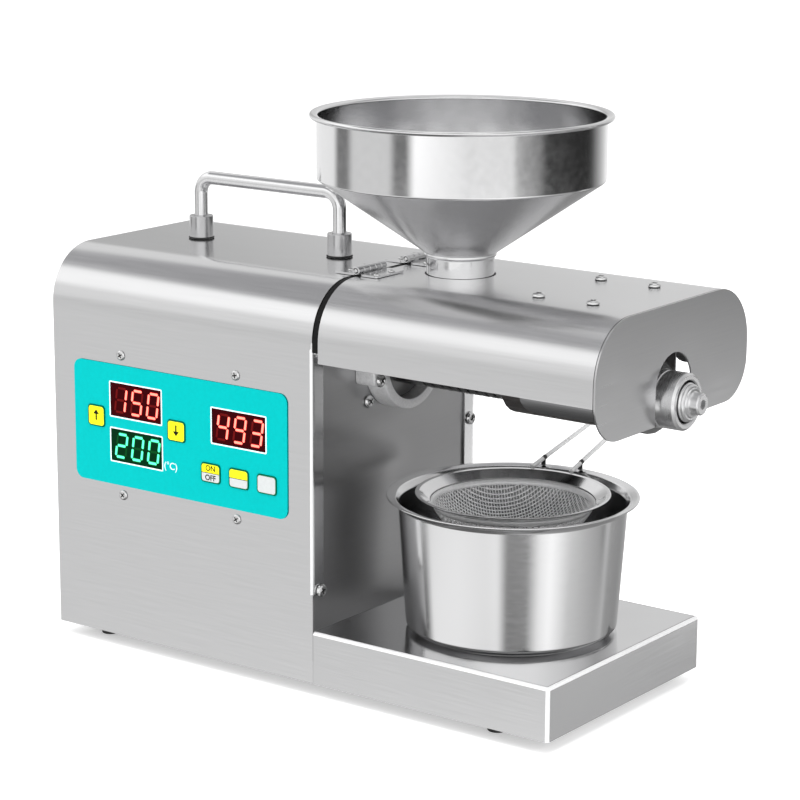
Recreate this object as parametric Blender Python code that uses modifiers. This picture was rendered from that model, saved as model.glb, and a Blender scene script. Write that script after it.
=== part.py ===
"""Tabletop screw oil press: housing with motor and gears, press barrel, hinged hood, hopper, oil pot.

Metres, +Z up. The press nose points to +X and the control panel faces -Y. Lengths and heights are
counted from the machine point: the housing's front face, the middle plane, the underside of the pan.
"""

from math import cos, pi, radians, sin, sqrt, tan, tau

import bmesh
import bpy
from mathutils import Matrix, Vector

# General fits
GAP = 0.0003
SHEET = 0.0012
WIDTH = 0.170
CORNER = 0.035
FOOT_HEIGHT = 0.008

# Housing and tray
HOUSING_LENGTH = 0.2094
HOUSING_TOP = 0.247
TRAY_END = 0.1708
TRAY_HEIGHT = 0.033
PAN_FLANGE = 0.014
FLANGE_WIDTH = 0.011
NEAR_FLANGE_FOOT = 0.056
FOOT_RADIUS = 0.0065
FOOT_INSET_REAR = 0.0264
FOOT_INSET_FRONT = 0.0478
FOOT_INSET_SIDE = 0.019
REAR_RECESS = 0.0015
SLOT_LENGTH = 0.034
SLOT_WIDTH = 0.0035
SLOT_PITCH = 0.009
SLOT_ROWS = 7
SLOT_COLUMNS = (-0.030, 0.030)
SLOT_FOOT = 0.098

# Carry handle
HANDLE_X = (-0.1573, -0.0447)
HANDLE_RISE = 0.040
HANDLE_RADIUS = 0.0043
HANDLE_BEND = 0.010
BOSS_RADIUS = 0.00775
BOSS_HEIGHT = 0.015
BOSS_SOCKET = 0.008

# Press line: every part on the press axis
PRESS_DROP = 0.057
SEAT_RADIUS = 0.0315
SEAT_BORE = 0.0253
SEAT_FRONT = 0.013
SEAT_FLOOR = 0.0022
SEAT_FLOOR_BORE = 0.014
EAR_REACH = 0.0405
EAR_HALF = 0.0118
BARREL_BORE = 0.0126
BARREL_RADIUS = 0.016
BARREL_FLANGE = 0.003
BARREL_END = 0.191
OIL_SLOT_WIDTH = 0.002
OIL_SLOT_PITCH = 0.0065
OIL_SLOT_FIRST = 0.0285
OIL_SLOT_COUNT = 9
OIL_SLOT_DEPTH = 0.0075
FEED_X = 0.0473
FEED_PORT = 0.0100
HEATER_RADIUS = 0.022
HEATER_X = (0.092, 0.184)
HEATER_SLIT = 0.003
HEATER_EAR = 0.007
COLLAR_LENGTH = 0.0067
COLLAR_CHAMFER = 0.0045
NUT_RADIUS = 0.0169
NUT_END = 0.2075
NUT_CHAMFER = 0.0014

# Press screw
FLIGHT_RADIUS = 0.0121
FLIGHT_START = 0.014
FLIGHT_END = 0.182
FLIGHT_TURNS = 8
FLIGHT_STEPS = 9
CORE_REAR = 0.0070
CORE_FRONT = 0.0102
TAIL_RADIUS = 0.0062
TAIL_START = 0.0018
CONE_FACE = 0.0115
CONE_RING = 0.0108
STUB_RADIUS = 0.0065
STUB_END = 0.2172
KEY_SOCKET = 0.0031

# Gears and motor
MODULE = 0.00125
PINION_TEETH = 12
WHEEL_TEETH = 48
BACKLASH = 0.00045
FIRST_STAGE_X = (-0.0435, -0.0345)
SECOND_STAGE_X = (-0.0290, -0.0150)
CASE_BACK = -0.050
CASE_WALL = 0.004
COVER_THICK = 0.0043
CASE_MARGIN = 0.0018
OUTPUT_SHAFT_RADIUS = 0.009
JOURNAL_RADIUS = 0.005
IDLER_SHAFT_RADIUS = 0.004
BEARING_WALL = 0.0042
HUB_RADIUS = 0.0115
HUB_END = 0.011
MOTOR_RADIUS = 0.045
MOTOR_LENGTH = 0.104
MOTOR_WALL = 0.012
BELL_LENGTH = 0.016
MOTOR_SHAFT_RADIUS = 0.004
FAN_RADIUS = 0.036
FAN_LENGTH = 0.011
FAN_BLADES = 8
CRADLE_X = (-0.140, -0.090)
CRADLE_HALF = 0.034

# Hood and its hinges
HOOD_START = 0.0045
HOOD_END = 0.1962
SKIRT_DROP = 0.047
LIP_START = 0.148
LIP_CORNER = 0.0076
END_DROP = 0.0695
END_LOWER_CORNER = 0.025
ARCH_HALF = 0.020
ARCH_DROP = 0.029
SHIELD_X = (0.112, 0.176)
SHIELD_HALF = 0.039
SHIELD_DROP = 0.057
GASKET_DROP = 0.041
GASKET_DEPTH = 0.006
GASKET_INSET = 0.001
HINGE_X = 0.003
HINGE_RISE = 0.003
HINGE_LENGTH = 0.0283
HINGE_Y = (-0.0463, 0.0045)
KNUCKLES = 5
KNUCKLE_RADIUS = 0.00275
PIN_RADIUS = 0.0012
LEAF_REACH = 0.016

# Hopper
HOPPER_SHEET = 0.0010
RIM_RISE = 0.0973
RIM_RADIUS = 0.0914
RIM_LIP = 0.003
HOPPER_RADIUS = 0.0867
CONE_RISE = 0.058
CONE_FOOT_RISE = 0.0125
THROAT_RADIUS = 0.0206
THROAT_DROP = 0.015
THROAT_HOLE = 0.0216
CHUTE_RADIUS = 0.024
CHUTE_DROP = 0.006
CHUTE_NECK = 0.015

# Oil pot and strainer
POT_X = 0.08765
POT_TOP = 0.116
POT_RIM = 0.0769
POT_UPPER = 0.0696
POT_LOWER = 0.0645
POT_WALL = 0.0010
POT_ROUND = 0.005
STRAINER_TOP = 0.1172
STRAINER_RIM = 0.0594
STRAINER_THROAT = 0.0500
STRAINER_BAND = 0.011
STRAINER_SHEET = 0.0008
BOWL_DEPTH = 0.026
WIRE_RADIUS = 0.0015
WIRE_SPREAD = 0.0131
WIRE_END_SPREAD = 0.0090
WIRE_ROOT_ANGLE = radians(99.6)
WIRE_HEADING = radians(95.0)
WIRE_REACH = 0.101
WIRE_PITCH = radians(10.758)
WIRE_BEND = 0.006
WIRE_LIFT = 0.0006

# Control panel: every rectangle is (low x, low z, high x, high z) on the near wall
PANEL = (-0.1915, 0.1002, -0.0185, 0.1782)
PANEL_CORNER = 0.006
PANEL_THICK = 0.0005
WINDOWS = {
    "display_upper": (-0.1610, 0.1449, -0.1187, 0.1666),
    "display_lower": (-0.1610, 0.1158, -0.1184, 0.1368),
    "display_front": (-0.0776, 0.1398, -0.0351, 0.1618),
}
BUTTONS = {
    "button_up": (-0.1800, 0.1362, -0.1658, 0.1500),
    "button_down": (-0.1135, 0.1359, -0.0989, 0.1495),
    "button_on_off": (-0.0864, 0.1140, -0.0708, 0.1265),
    "button_press": (-0.0641, 0.1139, -0.0484, 0.1264),
    "button_clear": (-0.0419, 0.1140, -0.0265, 0.1261),
}
BUTTON_PROUD = 0.0006
BUTTON_THICK = 0.0016
BUTTON_TRAVEL = 0.0005
STEM_RADIUS = 0.0018
KEY_SWITCH = 0.006
KEY_SWITCH_HEIGHT = 0.0045
BOARD_DEPTH = 0.0080
BOARD_THICK = 0.0016
BOX_DEPTH = 0.0210
BOX_WALL = 0.002
BOX_MARGIN = 0.003
PANEL_SCREWS = ((-0.1520, 0.1845), (-0.0588, 0.1845), (-0.1520, 0.0940), (-0.0588, 0.0940))
PANEL_SCREW_BOSS = 0.005

# Power inlet
INLET_Y = -0.045
INLET_Z = 0.045
INLET_BODY = (0.0270, 0.0200)
INLET_FLANGE = (0.0310, 0.0240)
INLET_DEPTH = 0.018
INLET_RECESS = (0.0225, 0.0145)

# Looks: colour, roughness, metallic
BRUSHED = ((0.62, 0.62, 0.63), 0.32, 1.0)
POLISHED = ((0.78, 0.78, 0.79), 0.12, 1.0)
CHROME = ((0.82, 0.82, 0.83), 0.08, 1.0)
TOOL_STEEL = ((0.45, 0.45, 0.46), 0.35, 1.0)
DARK_STEEL = ((0.07, 0.07, 0.07), 0.5, 0.6)
CAST = ((0.48, 0.49, 0.50), 0.55, 0.9)
BRASS = ((0.72, 0.54, 0.24), 0.3, 1.0)
RUBBER = ((0.02, 0.02, 0.02), 0.8, 0.0)
PANEL_FILM = ((0.0, 0.66, 0.64), 0.4, 0.0)
DARK_WINDOW = ((0.03, 0.01, 0.01), 0.1, 0.0)
YELLOW_KEY = ((0.93, 0.80, 0.12), 0.45, 0.0)
GREY_KEY = ((0.78, 0.79, 0.78), 0.45, 0.0)
BLACK_PLASTIC = ((0.03, 0.03, 0.03), 0.45, 0.0)
BOARD_GREEN = ((0.04, 0.24, 0.11), 0.5, 0.0)
WINDING_GREY = ((0.30, 0.31, 0.32), 0.45, 0.8)

# Sizes that follow from the ones above
HANDLE_TOP = HOUSING_TOP + HANDLE_RISE
BOSS_TOP = HOUSING_TOP + BOSS_HEIGHT
PRESS_Z = HOUSING_TOP - PRESS_DROP
HOOD_SKIRT = HOUSING_TOP - SKIRT_DROP
END_BOTTOM = HOUSING_TOP - END_DROP
ARCH_TOP = HOUSING_TOP - ARCH_DROP
SHIELD_FOOT = HOUSING_TOP - SHIELD_DROP
GASKET_FOOT = HOUSING_TOP - GASKET_DROP
HINGE_Z = HOUSING_TOP + HINGE_RISE
RIM_TOP = HOUSING_TOP + RIM_RISE
CONE_TOP = HOUSING_TOP + CONE_RISE
CONE_BOTTOM = HOUSING_TOP + CONE_FOOT_RISE
THROAT_END = HOUSING_TOP - THROAT_DROP
CHUTE_TOP = HOUSING_TOP - CHUTE_DROP
HALF = WIDTH / 2
INNER = HALF - SHEET
BOARD_Y = BOARD_DEPTH - HALF
BOX_BACK = BOX_DEPTH - HALF
FITTED = INNER - GAP
GEAR_CENTRES = MODULE * (PINION_TEETH + WHEEL_TEETH) / 2
IDLER_Z = PRESS_Z - GEAR_CENTRES
MOTOR_Z = IDLER_Z - GEAR_CENTRES
WHEEL_RADIUS = MODULE * WHEEL_TEETH / 2
CASE_RADIUS = WHEEL_RADIUS + MODULE + CASE_MARGIN + CASE_WALL
COVER_FRONT = -2 * SHEET - 3 * GAP
COVER_BACK = COVER_FRONT - COVER_THICK
FRONT_WALL_X = -SHEET * 1.5 - GAP
REAR_WALL_X = -HOUSING_LENGTH + REAR_RECESS + SHEET / 2
BARREL_START = -SHEET + SEAT_FLOOR + GAP
STUB_START = NUT_END + 0.0045
LEAF_Z = HOUSING_TOP + GAP
BODY_REAR = -HOUSING_LENGTH - SHEET
WIRE_ROOT_RADIUS = STRAINER_RIM + 2 * GAP
WIRE_FAR_Y = WIRE_ROOT_RADIUS * sin(WIRE_ROOT_ANGLE) + WIRE_REACH * sin(WIRE_HEADING)
NEAR_REACH = -RIM_RADIUS
FAR_REACH = WIRE_FAR_Y + WIRE_RADIUS


def make_collection(name):
    group = bpy.data.collections.new(name)
    bpy.context.scene.collection.children.link(group)
    return group


for old in list(bpy.data.objects):
    bpy.data.objects.remove(old, do_unlink=True)
parts = make_collection("screw_oil_press")
cutters = make_collection("cutters")

machine_point = bpy.data.objects.new("machine_point", None)
machine_point.location = (
    -(BODY_REAR + STUB_END) / 2,
    -(NEAR_REACH + FAR_REACH) / 2,
    FOOT_HEIGHT,
)
parts.objects.link(machine_point)


def paint(obj, look):
    """Give the object its own Principled material."""
    colour, roughness, metallic = look
    material = bpy.data.materials.new(obj.name)
    material.use_nodes = True
    shader = material.node_tree.nodes["Principled BSDF"]
    shader.inputs["Base Color"].default_value = (*colour, 1.0)
    shader.inputs["Roughness"].default_value = roughness
    shader.inputs["Metallic"].default_value = metallic
    obj.data.materials.append(material)


def place(name, data, look, location=(0, 0, 0), rotation=(0, 0, 0)):
    """Link a piece to the model, or to the cutters when it has no look."""
    obj = bpy.data.objects.new(name, data)
    obj.location = location
    obj.rotation_euler = rotation
    obj.parent = machine_point
    if look:
        parts.objects.link(obj)
        paint(obj, look)
    else:
        cutters.objects.link(obj)
        obj.display_type = "WIRE"
        obj.hide_render = True
    return obj


def place_bmesh(name, bm, look):
    mesh = bpy.data.meshes.new(name)
    bmesh.ops.recalc_face_normals(bm, faces=bm.faces)
    bm.to_mesh(mesh)
    bm.free()
    return place(name, mesh, look)


def cut(obj, cutter, operation="DIFFERENCE"):
    modifier = obj.modifiers.new(cutter.name, "BOOLEAN")
    modifier.object = cutter
    modifier.operation = operation
    modifier.solver = "EXACT"


def add_box(bm, low, high):
    low, high = Vector(low), Vector(high)
    verts = bmesh.ops.create_cube(bm, size=1.0)["verts"]
    bmesh.ops.scale(bm, vec=high - low, verts=verts)
    bmesh.ops.translate(bm, vec=(low + high) / 2, verts=verts)
    return verts


def add_rod(bm, radius, low, high, steps, axis="Z"):
    """A capped cylinder from low to high along the axis, both given as points on its centre line."""
    low, high = Vector(low), Vector(high)
    turn = {"X": Matrix.Rotation(pi / 2, 3, "Y"), "Y": Matrix.Rotation(pi / 2, 3, "X"), "Z": Matrix.Identity(3)}
    verts = bmesh.ops.create_cone(
        bm, cap_ends=True, segments=steps, radius1=radius, radius2=radius, depth=(high - low).length
    )["verts"]
    bmesh.ops.rotate(bm, cent=(0, 0, 0), matrix=turn[axis], verts=verts)
    bmesh.ops.translate(bm, vec=(low + high) / 2, verts=verts)


def block(name, low, high, look):
    bm = bmesh.new()
    add_box(bm, low, high)
    return place_bmesh(name, bm, look)


def rod(name, radius, low, high, look, steps=24, axis="Z"):
    bm = bmesh.new()
    add_rod(bm, radius, low, high, steps, axis)
    return place_bmesh(name, bm, look)


def open_box(name, low, high, open_sides, look):
    """A folded sheet box: a cube without the faces on its open sides, thickened inwards."""
    bm = bmesh.new()
    add_box(bm, low, high)
    gone = [face for face in bm.faces if any(face.normal.dot(Vector(side)) > 0.9 for side in open_sides)]
    bmesh.ops.delete(bm, geom=gone, context="FACES")
    obj = place_bmesh(name, bm, look)
    thicken(obj, SHEET)
    return obj


def thicken(obj, wall):
    solid = obj.modifiers.new("wall", "SOLIDIFY")
    solid.thickness = wall
    solid.offset = -1.0
    solid.use_even_offset = True


def clockwise(profile):
    """The profile ordered so that its turned faces point outwards."""
    following = profile[1:] + profile[:1]
    area = sum(a[0] * b[1] - b[0] * a[1] for a, b in zip(profile, following))
    return profile if area < 0 else profile[::-1]


def turned(name, profile, look, steps=32, centre=(0, 0, 0), axis="Z"):
    """A lathe shape: (radius, distance along the axis) points, closed on the axis or as a ring."""
    mesh = bpy.data.meshes.new(name)
    bm = bmesh.new()
    profile = clockwise(list(profile))
    verts = [bm.verts.new((radius, 0, along)) for radius, along in profile]
    for first, second in zip(verts, verts[1:]):
        bm.edges.new((first, second))
    if profile[0][0] > 0 or profile[-1][0] > 0:
        bm.edges.new((verts[-1], verts[0]))
    bm.to_mesh(mesh)
    bm.free()
    rotation = {"Z": (0, 0, 0), "X": (0, pi / 2, 0), "-Y": (pi / 2, 0, 0)}[axis]
    obj = place(name, mesh, look, centre, rotation)
    screw = obj.modifiers.new("turn", "SCREW")
    screw.steps = screw.render_steps = steps
    screw.use_merge_vertices = True
    screw.merge_threshold = 0.00001
    screw.use_smooth_shade = True
    return obj


def arc(centre, radius, start, end, steps):
    angles = [start + (end - start) * i / steps for i in range(steps + 1)]
    return [(centre[0] + radius * cos(a), centre[1] + radius * sin(a)) for a in angles]


def circle(centre, radius, steps=24):
    return arc(centre, radius, 0, tau * (steps - 1) / steps, steps - 1)


def rounded_rectangle(low, high, radius, steps=4):
    corners = (
        ((high[0] - radius, high[1] - radius), 0),
        ((low[0] + radius, high[1] - radius), pi / 2),
        ((low[0] + radius, low[1] + radius), pi),
        ((high[0] - radius, low[1] + radius), 3 * pi / 2),
    )
    return [point for centre, start in corners for point in arc(centre, radius, start, start + pi / 2, steps)]


def hoop(half, top, radius, foot, steps=8):
    """The body's section from its right foot over the rounded top to its left foot."""
    over_right = arc((half - radius, top - radius), radius, 0, pi / 2, steps)
    over_left = arc((radius - half, top - radius), radius, pi / 2, pi, steps)
    return [(half, foot), *over_right, *over_left, (-half, foot)]


def plate(name, outlines, thickness, look, centre=(0, 0, 0), facing="Z"):
    """A flat sheet cut to the first outline, with the other outlines as holes."""
    curve = bpy.data.curves.new(name, "CURVE")
    curve.dimensions = "2D"
    curve.fill_mode = "BOTH"
    curve.extrude = thickness / 2
    for outline in outlines:
        spline = curve.splines.new("POLY")
        spline.points.add(len(outline) - 1)
        for point, (u, v) in zip(spline.points, outline):
            point.co = (u, v, 0, 1)
        spline.use_cyclic_u = True
    rotation = {"Z": (0, 0, 0), "X": (pi / 2, 0, pi / 2), "-Y": (pi / 2, 0, 0)}[facing]
    return place(name, curve, look, centre, rotation)


def as_mesh(obj):
    """Turn a curve piece into a mesh piece, so that it can be cut."""
    bpy.context.view_layer.update()
    evaluated = obj.evaluated_get(bpy.context.evaluated_depsgraph_get())
    mesh = bpy.data.meshes.new_from_object(evaluated)
    bm = bmesh.new()
    bm.from_mesh(mesh)
    bmesh.ops.remove_doubles(bm, verts=bm.verts, dist=0.000001)
    bmesh.ops.recalc_face_normals(bm, faces=bm.faces)
    bm.to_mesh(mesh)
    bm.free()
    name = obj.name
    solid = bpy.data.objects.new(name + "_solid", mesh)
    solid.parent = machine_point
    solid.location = obj.location
    solid.rotation_euler = obj.rotation_euler
    parts.objects.link(solid)
    bpy.data.objects.remove(obj, do_unlink=True)
    solid.name = name
    return solid


def wire(name, points, radius, look, resolution=2):
    curve = bpy.data.curves.new(name, "CURVE")
    curve.dimensions = "3D"
    curve.bevel_depth = radius
    curve.bevel_resolution = resolution
    curve.use_fill_caps = True
    spline = curve.splines.new("POLY")
    spline.points.add(len(points) - 1)
    for point, position in zip(spline.points, points):
        point.co = (*position, 1)
    return place(name, curve, look)


def bent(points, radius, steps=5):
    """The path through the points, with a round bend of the radius at each inner one."""
    path = [Vector(points[0])]
    for before, corner, after in zip(points, points[1:], points[2:]):
        back = (Vector(before) - Vector(corner)).normalized()
        ahead = (Vector(after) - Vector(corner)).normalized()
        half_angle = back.angle(ahead) / 2
        centre = Vector(corner) + (back + ahead).normalized() * radius / sin(half_angle)
        reach = sqrt(max((centre - Vector(corner)).length_squared - radius**2, 0))
        start = Vector(corner) + back * reach - centre
        turn = (Vector(corner) + ahead * reach - centre).rotation_difference(start).inverted()
        for i in range(steps + 1):
            path.append(centre + Matrix.Rotation(turn.angle * i / steps, 3, turn.axis) @ start)
    path.append(Vector(points[-1]))
    return path


def carry(name, pivot, pieces):
    """Hang the pieces of one moving body on an empty that lies on its joint's axis."""
    axis = bpy.data.objects.new(name, None)
    axis.parent = machine_point
    axis.location = pivot
    parts.objects.link(axis)
    for piece in pieces:
        piece.parent = axis
        piece.matrix_parent_inverse = Matrix.Translation(-Vector(pivot))


def wall_outline(bottom):
    """A wall inside the cover: narrow between the pan's flanges, full width above them."""
    shoulder = PAN_FLANGE + GAP
    narrow = FITTED - SHEET - GAP
    radius = CORNER - SHEET - GAP
    body = hoop(FITTED, HOUSING_TOP - SHEET - GAP, radius, shoulder)
    return [(narrow, bottom), (narrow, shoulder), *body, (-narrow, shoulder), (-narrow, bottom)]


def make_base():
    rear = REAR_WALL_X + SHEET / 2 + GAP
    open_box(
        "bottom_pan", (rear, -FITTED, 0), (TRAY_END - SHEET - GAP, FITTED, PAN_FLANGE), [(0, 0, 1)], BRUSHED
    )
    tray = open_box(
        "base_tray", (GAP, -HALF, 0), (TRAY_END, HALF, TRAY_HEIGHT), [(0, 0, -1), (-1, 0, 0)], BRUSHED
    )
    edge = tray.modifiers.new("fold", "BEVEL")
    edge.width = SHEET / 3
    edge.segments = 1
    edge.limit_method = "ANGLE"
    for end, x in (("rear", FOOT_INSET_REAR - HOUSING_LENGTH), ("front", TRAY_END - FOOT_INSET_FRONT)):
        for name, side in (("near", -1), ("far", 1)):
            bm = bmesh.new()
            bmesh.ops.create_cone(
                bm,
                cap_ends=True,
                segments=16,
                radius1=FOOT_RADIUS * 0.88,
                radius2=FOOT_RADIUS,
                depth=FOOT_HEIGHT - GAP,
                matrix=Matrix.Translation((x, side * (HALF - FOOT_INSET_SIDE), -(FOOT_HEIGHT + GAP) / 2)),
            )
            place_bmesh(f"rubber_foot_{end}_{name}", bm, RUBBER)


def make_housing():
    bm = bmesh.new()
    section = [bm.verts.new((-HOUSING_LENGTH, y, z)) for y, z in hoop(HALF, HOUSING_TOP, CORNER, 0)]
    edges = [bm.edges.new(pair) for pair in zip(section, section[1:])]
    swept = bmesh.ops.extrude_edge_only(bm, edges=edges)["geom"]
    moved = [item for item in swept if isinstance(item, bmesh.types.BMVert)]
    bmesh.ops.translate(bm, vec=(HOUSING_LENGTH, 0, 0), verts=moved)
    cover = place_bmesh("housing_cover", bm, BRUSHED)
    face_outwards(cover)
    thicken(cover, SHEET)
    for name, side, foot in (("near", -1, NEAR_FLANGE_FOOT), ("far", 1, TRAY_HEIGHT)):
        outer, inner = side * (HALF - SHEET / 2), side * (HALF - FLANGE_WIDTH)
        low = (-SHEET, min(outer, inner), foot)
        high = (-SHEET / 20, max(outer, inner), HOUSING_TOP - CORNER)
        cut(cover, block(name + "_flange", low, high, None), "UNION")
    for index, (x0, z0, x1, z1) in enumerate([*WINDOWS.values(), *BUTTONS.values()]):
        low = (x0, -HALF - SHEET, z0)
        high = (x1, -HALF + 2 * SHEET, z1)
        cut(cover, block(f"panel_cut_{index}", low, high, None))
    plate(
        "front_wall",
        [wall_outline(SHEET + GAP), circle((0, PRESS_Z), SEAT_FLOOR_BORE)],
        SHEET,
        BRUSHED,
        (FRONT_WALL_X, 0, 0),
        "X",
    )
    inlet_w, inlet_h = INLET_BODY[0] / 2 + GAP, INLET_BODY[1] / 2 + GAP
    holes = [[(INLET_Y + u * inlet_w, INLET_Z + v * inlet_h) for u, v in ((-1, -1), (1, -1), (1, 1), (-1, 1))]]
    for column in SLOT_COLUMNS:
        for row in range(SLOT_ROWS):
            z = SLOT_FOOT + row * SLOT_PITCH
            low = (column - SLOT_LENGTH / 2, z - SLOT_WIDTH / 2)
            high = (column + SLOT_LENGTH / 2, z + SLOT_WIDTH / 2)
            holes.append(rounded_rectangle(low, high, SLOT_WIDTH * 0.45, 1))
    plate("rear_panel", [wall_outline(SHEET + GAP), *holes], SHEET, BRUSHED, (REAR_WALL_X, 0, 0), "X")


def face_outwards(obj):
    """Flip an open shell whose first face looks at the machine's middle."""
    mesh = obj.data
    top = max(mesh.polygons, key=lambda face: face.center.z)
    if top.normal.z < 0:
        mesh.flip_normals()


def make_handle():
    rest = BOSS_TOP - BOSS_SOCKET + GAP
    ends = [(HANDLE_X[0], 0, rest), (HANDLE_X[0], 0, HANDLE_TOP), (HANDLE_X[1], 0, HANDLE_TOP), (HANDLE_X[1], 0, rest)]
    wire("carry_handle", bent(ends, HANDLE_BEND), HANDLE_RADIUS, POLISHED, 3)
    foot = HOUSING_TOP + GAP
    socket = HANDLE_RADIUS + GAP
    profile = [
        (0, foot),
        (BOSS_RADIUS, foot),
        (BOSS_RADIUS, BOSS_TOP - GAP),
        (BOSS_RADIUS - GAP, BOSS_TOP),
        (socket, BOSS_TOP),
        (socket, BOSS_TOP - BOSS_SOCKET),
        (0, BOSS_TOP - BOSS_SOCKET),
    ]
    for side, x in zip(("rear", "front"), HANDLE_X):
        turned(f"handle_boss_{side}", profile, POLISHED, 20, (x, 0, 0))


def gear_outline(teeth, phase):
    """Straight-flanked teeth on the pitch circle, thinned by the backlash."""
    pitch_radius = MODULE * teeth / 2
    tip, root = pitch_radius + 0.85 * MODULE, pitch_radius - 1.15 * MODULE
    half_pitch = (pi * MODULE / 2 - BACKLASH) / 2
    slope = 0.42
    points = []
    for tooth in range(teeth):
        middle = phase + tau * tooth / teeth
        at_tip = (half_pitch - slope * (tip - pitch_radius)) / tip
        at_root = (half_pitch + slope * (pitch_radius - root)) / root
        for radius, offset in ((root, -at_root), (tip, -at_tip), (tip, at_tip), (root, at_root)):
            points.append((radius * cos(middle + offset), radius * sin(middle + offset)))
    return points


def gear(name, teeth, span, height, bore, look, phase=0.0):
    middle = (span[0] + span[1]) / 2
    outlines = [gear_outline(teeth, phase), circle((0, 0), bore, 16)]
    return plate(name, outlines, span[1] - span[0], look, (middle, 0, height), "X")


def stadium(radius):
    low = MOTOR_Z + CASE_RADIUS - (CASE_WALL + MODULE * 8)
    return [*arc((0, PRESS_Z), radius, 0, pi, 14), *arc((0, low), radius, pi, tau, 14)]


def bearing(name, bore, low, high, height):
    inner, outer = bore + GAP, bore + GAP + BEARING_WALL
    profile = [(inner, low), (outer, low), (outer, high), (inner, high)]
    turned(name, profile, TOOL_STEEL, 20, (0, 0, height), "X")


def make_gearbox():
    """Two spur stages between the motor pinion and the output shaft, in a cast case."""
    bm = bmesh.new()
    section = [bm.verts.new((CASE_BACK, y, z)) for y, z in stadium(CASE_RADIUS)]
    back = bm.faces.new(section)
    front = bmesh.ops.extrude_face_region(bm, geom=[back], use_keep_orig=True)["geom"]
    moved = [item for item in front if isinstance(item, bmesh.types.BMVert)]
    depth = COVER_BACK - GAP - CASE_BACK
    bmesh.ops.translate(bm, vec=(depth, 0, 0), verts=moved)
    lid = [item for item in front if isinstance(item, bmesh.types.BMFace)]
    bmesh.ops.delete(bm, geom=lid, context="FACES_ONLY")
    case = place_bmesh("gearbox_case", bm, CAST)
    thicken(case, CASE_WALL)
    low, high = CASE_BACK - GAP, CASE_BACK + CASE_WALL + GAP
    bores = (
        ("output_bearing_seat", JOURNAL_RADIUS + BEARING_WALL + 2 * GAP, PRESS_Z),
        ("idler_bore", IDLER_SHAFT_RADIUS + GAP, IDLER_Z),
        ("pinion_hole", MODULE * PINION_TEETH / 2 + MODULE + GAP, MOTOR_Z),
    )
    for name, radius, z in bores:
        cut(case, rod(name, radius, (low, 0, z), (high, 0, z), None, 20, "X"))
    bearing("output_bearing_rear", JOURNAL_RADIUS, CASE_BACK, CASE_BACK + CASE_WALL, PRESS_Z)
    bearing("output_bearing_front", OUTPUT_SHAFT_RADIUS, COVER_BACK, COVER_FRONT, PRESS_Z)
    outlines = [
        stadium(CASE_RADIUS),
        circle((0, PRESS_Z), OUTPUT_SHAFT_RADIUS + BEARING_WALL + 2 * GAP, 20),
        circle((0, IDLER_Z), IDLER_SHAFT_RADIUS + GAP, 20),
    ]
    plate("gearbox_cover", outlines, COVER_THICK, CAST, ((COVER_FRONT + COVER_BACK) / 2, 0, 0), "X")


def make_gear_train():
    wheel_bore, idler_bore = OUTPUT_SHAFT_RADIUS + GAP, IDLER_SHAFT_RADIUS + GAP
    half_tooth = pi / PINION_TEETH
    output = gear("output_gear", WHEEL_TEETH, SECOND_STAGE_X, PRESS_Z, wheel_bore, TOOL_STEEL, pi / 2)
    shoulder = SECOND_STAGE_X[0] - GAP
    hex_bore = TAIL_RADIUS + 1.5 * GAP
    profile = [
        (0, CASE_BACK),
        (JOURNAL_RADIUS, CASE_BACK),
        (JOURNAL_RADIUS, shoulder),
        (OUTPUT_SHAFT_RADIUS, shoulder),
        (OUTPUT_SHAFT_RADIUS, COVER_FRONT + GAP),
        (HUB_RADIUS, COVER_FRONT + GAP),
        (HUB_RADIUS, HUB_END),
        (0, HUB_END),
    ]
    shaft = turned("output_shaft", profile, TOOL_STEEL, 24, (0, 0, PRESS_Z), "X")
    low, high = (TAIL_START - GAP, 0, PRESS_Z), (HUB_END + GAP, 0, PRESS_Z)
    cut(shaft, rod("hex_socket", hex_bore, low, high, None, 6, "X"))
    carry("press_drive_axis", (0, 0, PRESS_Z), [output, shaft, make_press_screw()])
    idler_wheel = gear("idler_gear", WHEEL_TEETH, FIRST_STAGE_X, IDLER_Z, idler_bore, TOOL_STEEL, pi / 2)
    teeth = gear_outline(PINION_TEETH, pi / 2 + half_tooth)
    middle = (SECOND_STAGE_X[0] + SECOND_STAGE_X[1]) / 2
    width = SECOND_STAGE_X[1] - SECOND_STAGE_X[0]
    pinion_shaft = as_mesh(plate("idler_pinion_shaft", [teeth], width, TOOL_STEEL, (middle, 0, IDLER_Z), "X"))
    low, high = (CASE_BACK, 0, IDLER_Z), (COVER_FRONT, 0, IDLER_Z)
    cut(pinion_shaft, rod("idler_shaft", IDLER_SHAFT_RADIUS, low, high, None, 16, "X"), "UNION")
    carry("idler_axis", (0, 0, IDLER_Z), [idler_wheel, pinion_shaft])
    motor_pinion = gear(
        "motor_pinion",
        PINION_TEETH,
        FIRST_STAGE_X,
        MOTOR_Z,
        MOTOR_SHAFT_RADIUS + GAP,
        TOOL_STEEL,
        pi / 2 + half_tooth,
    )
    return motor_pinion


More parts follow.
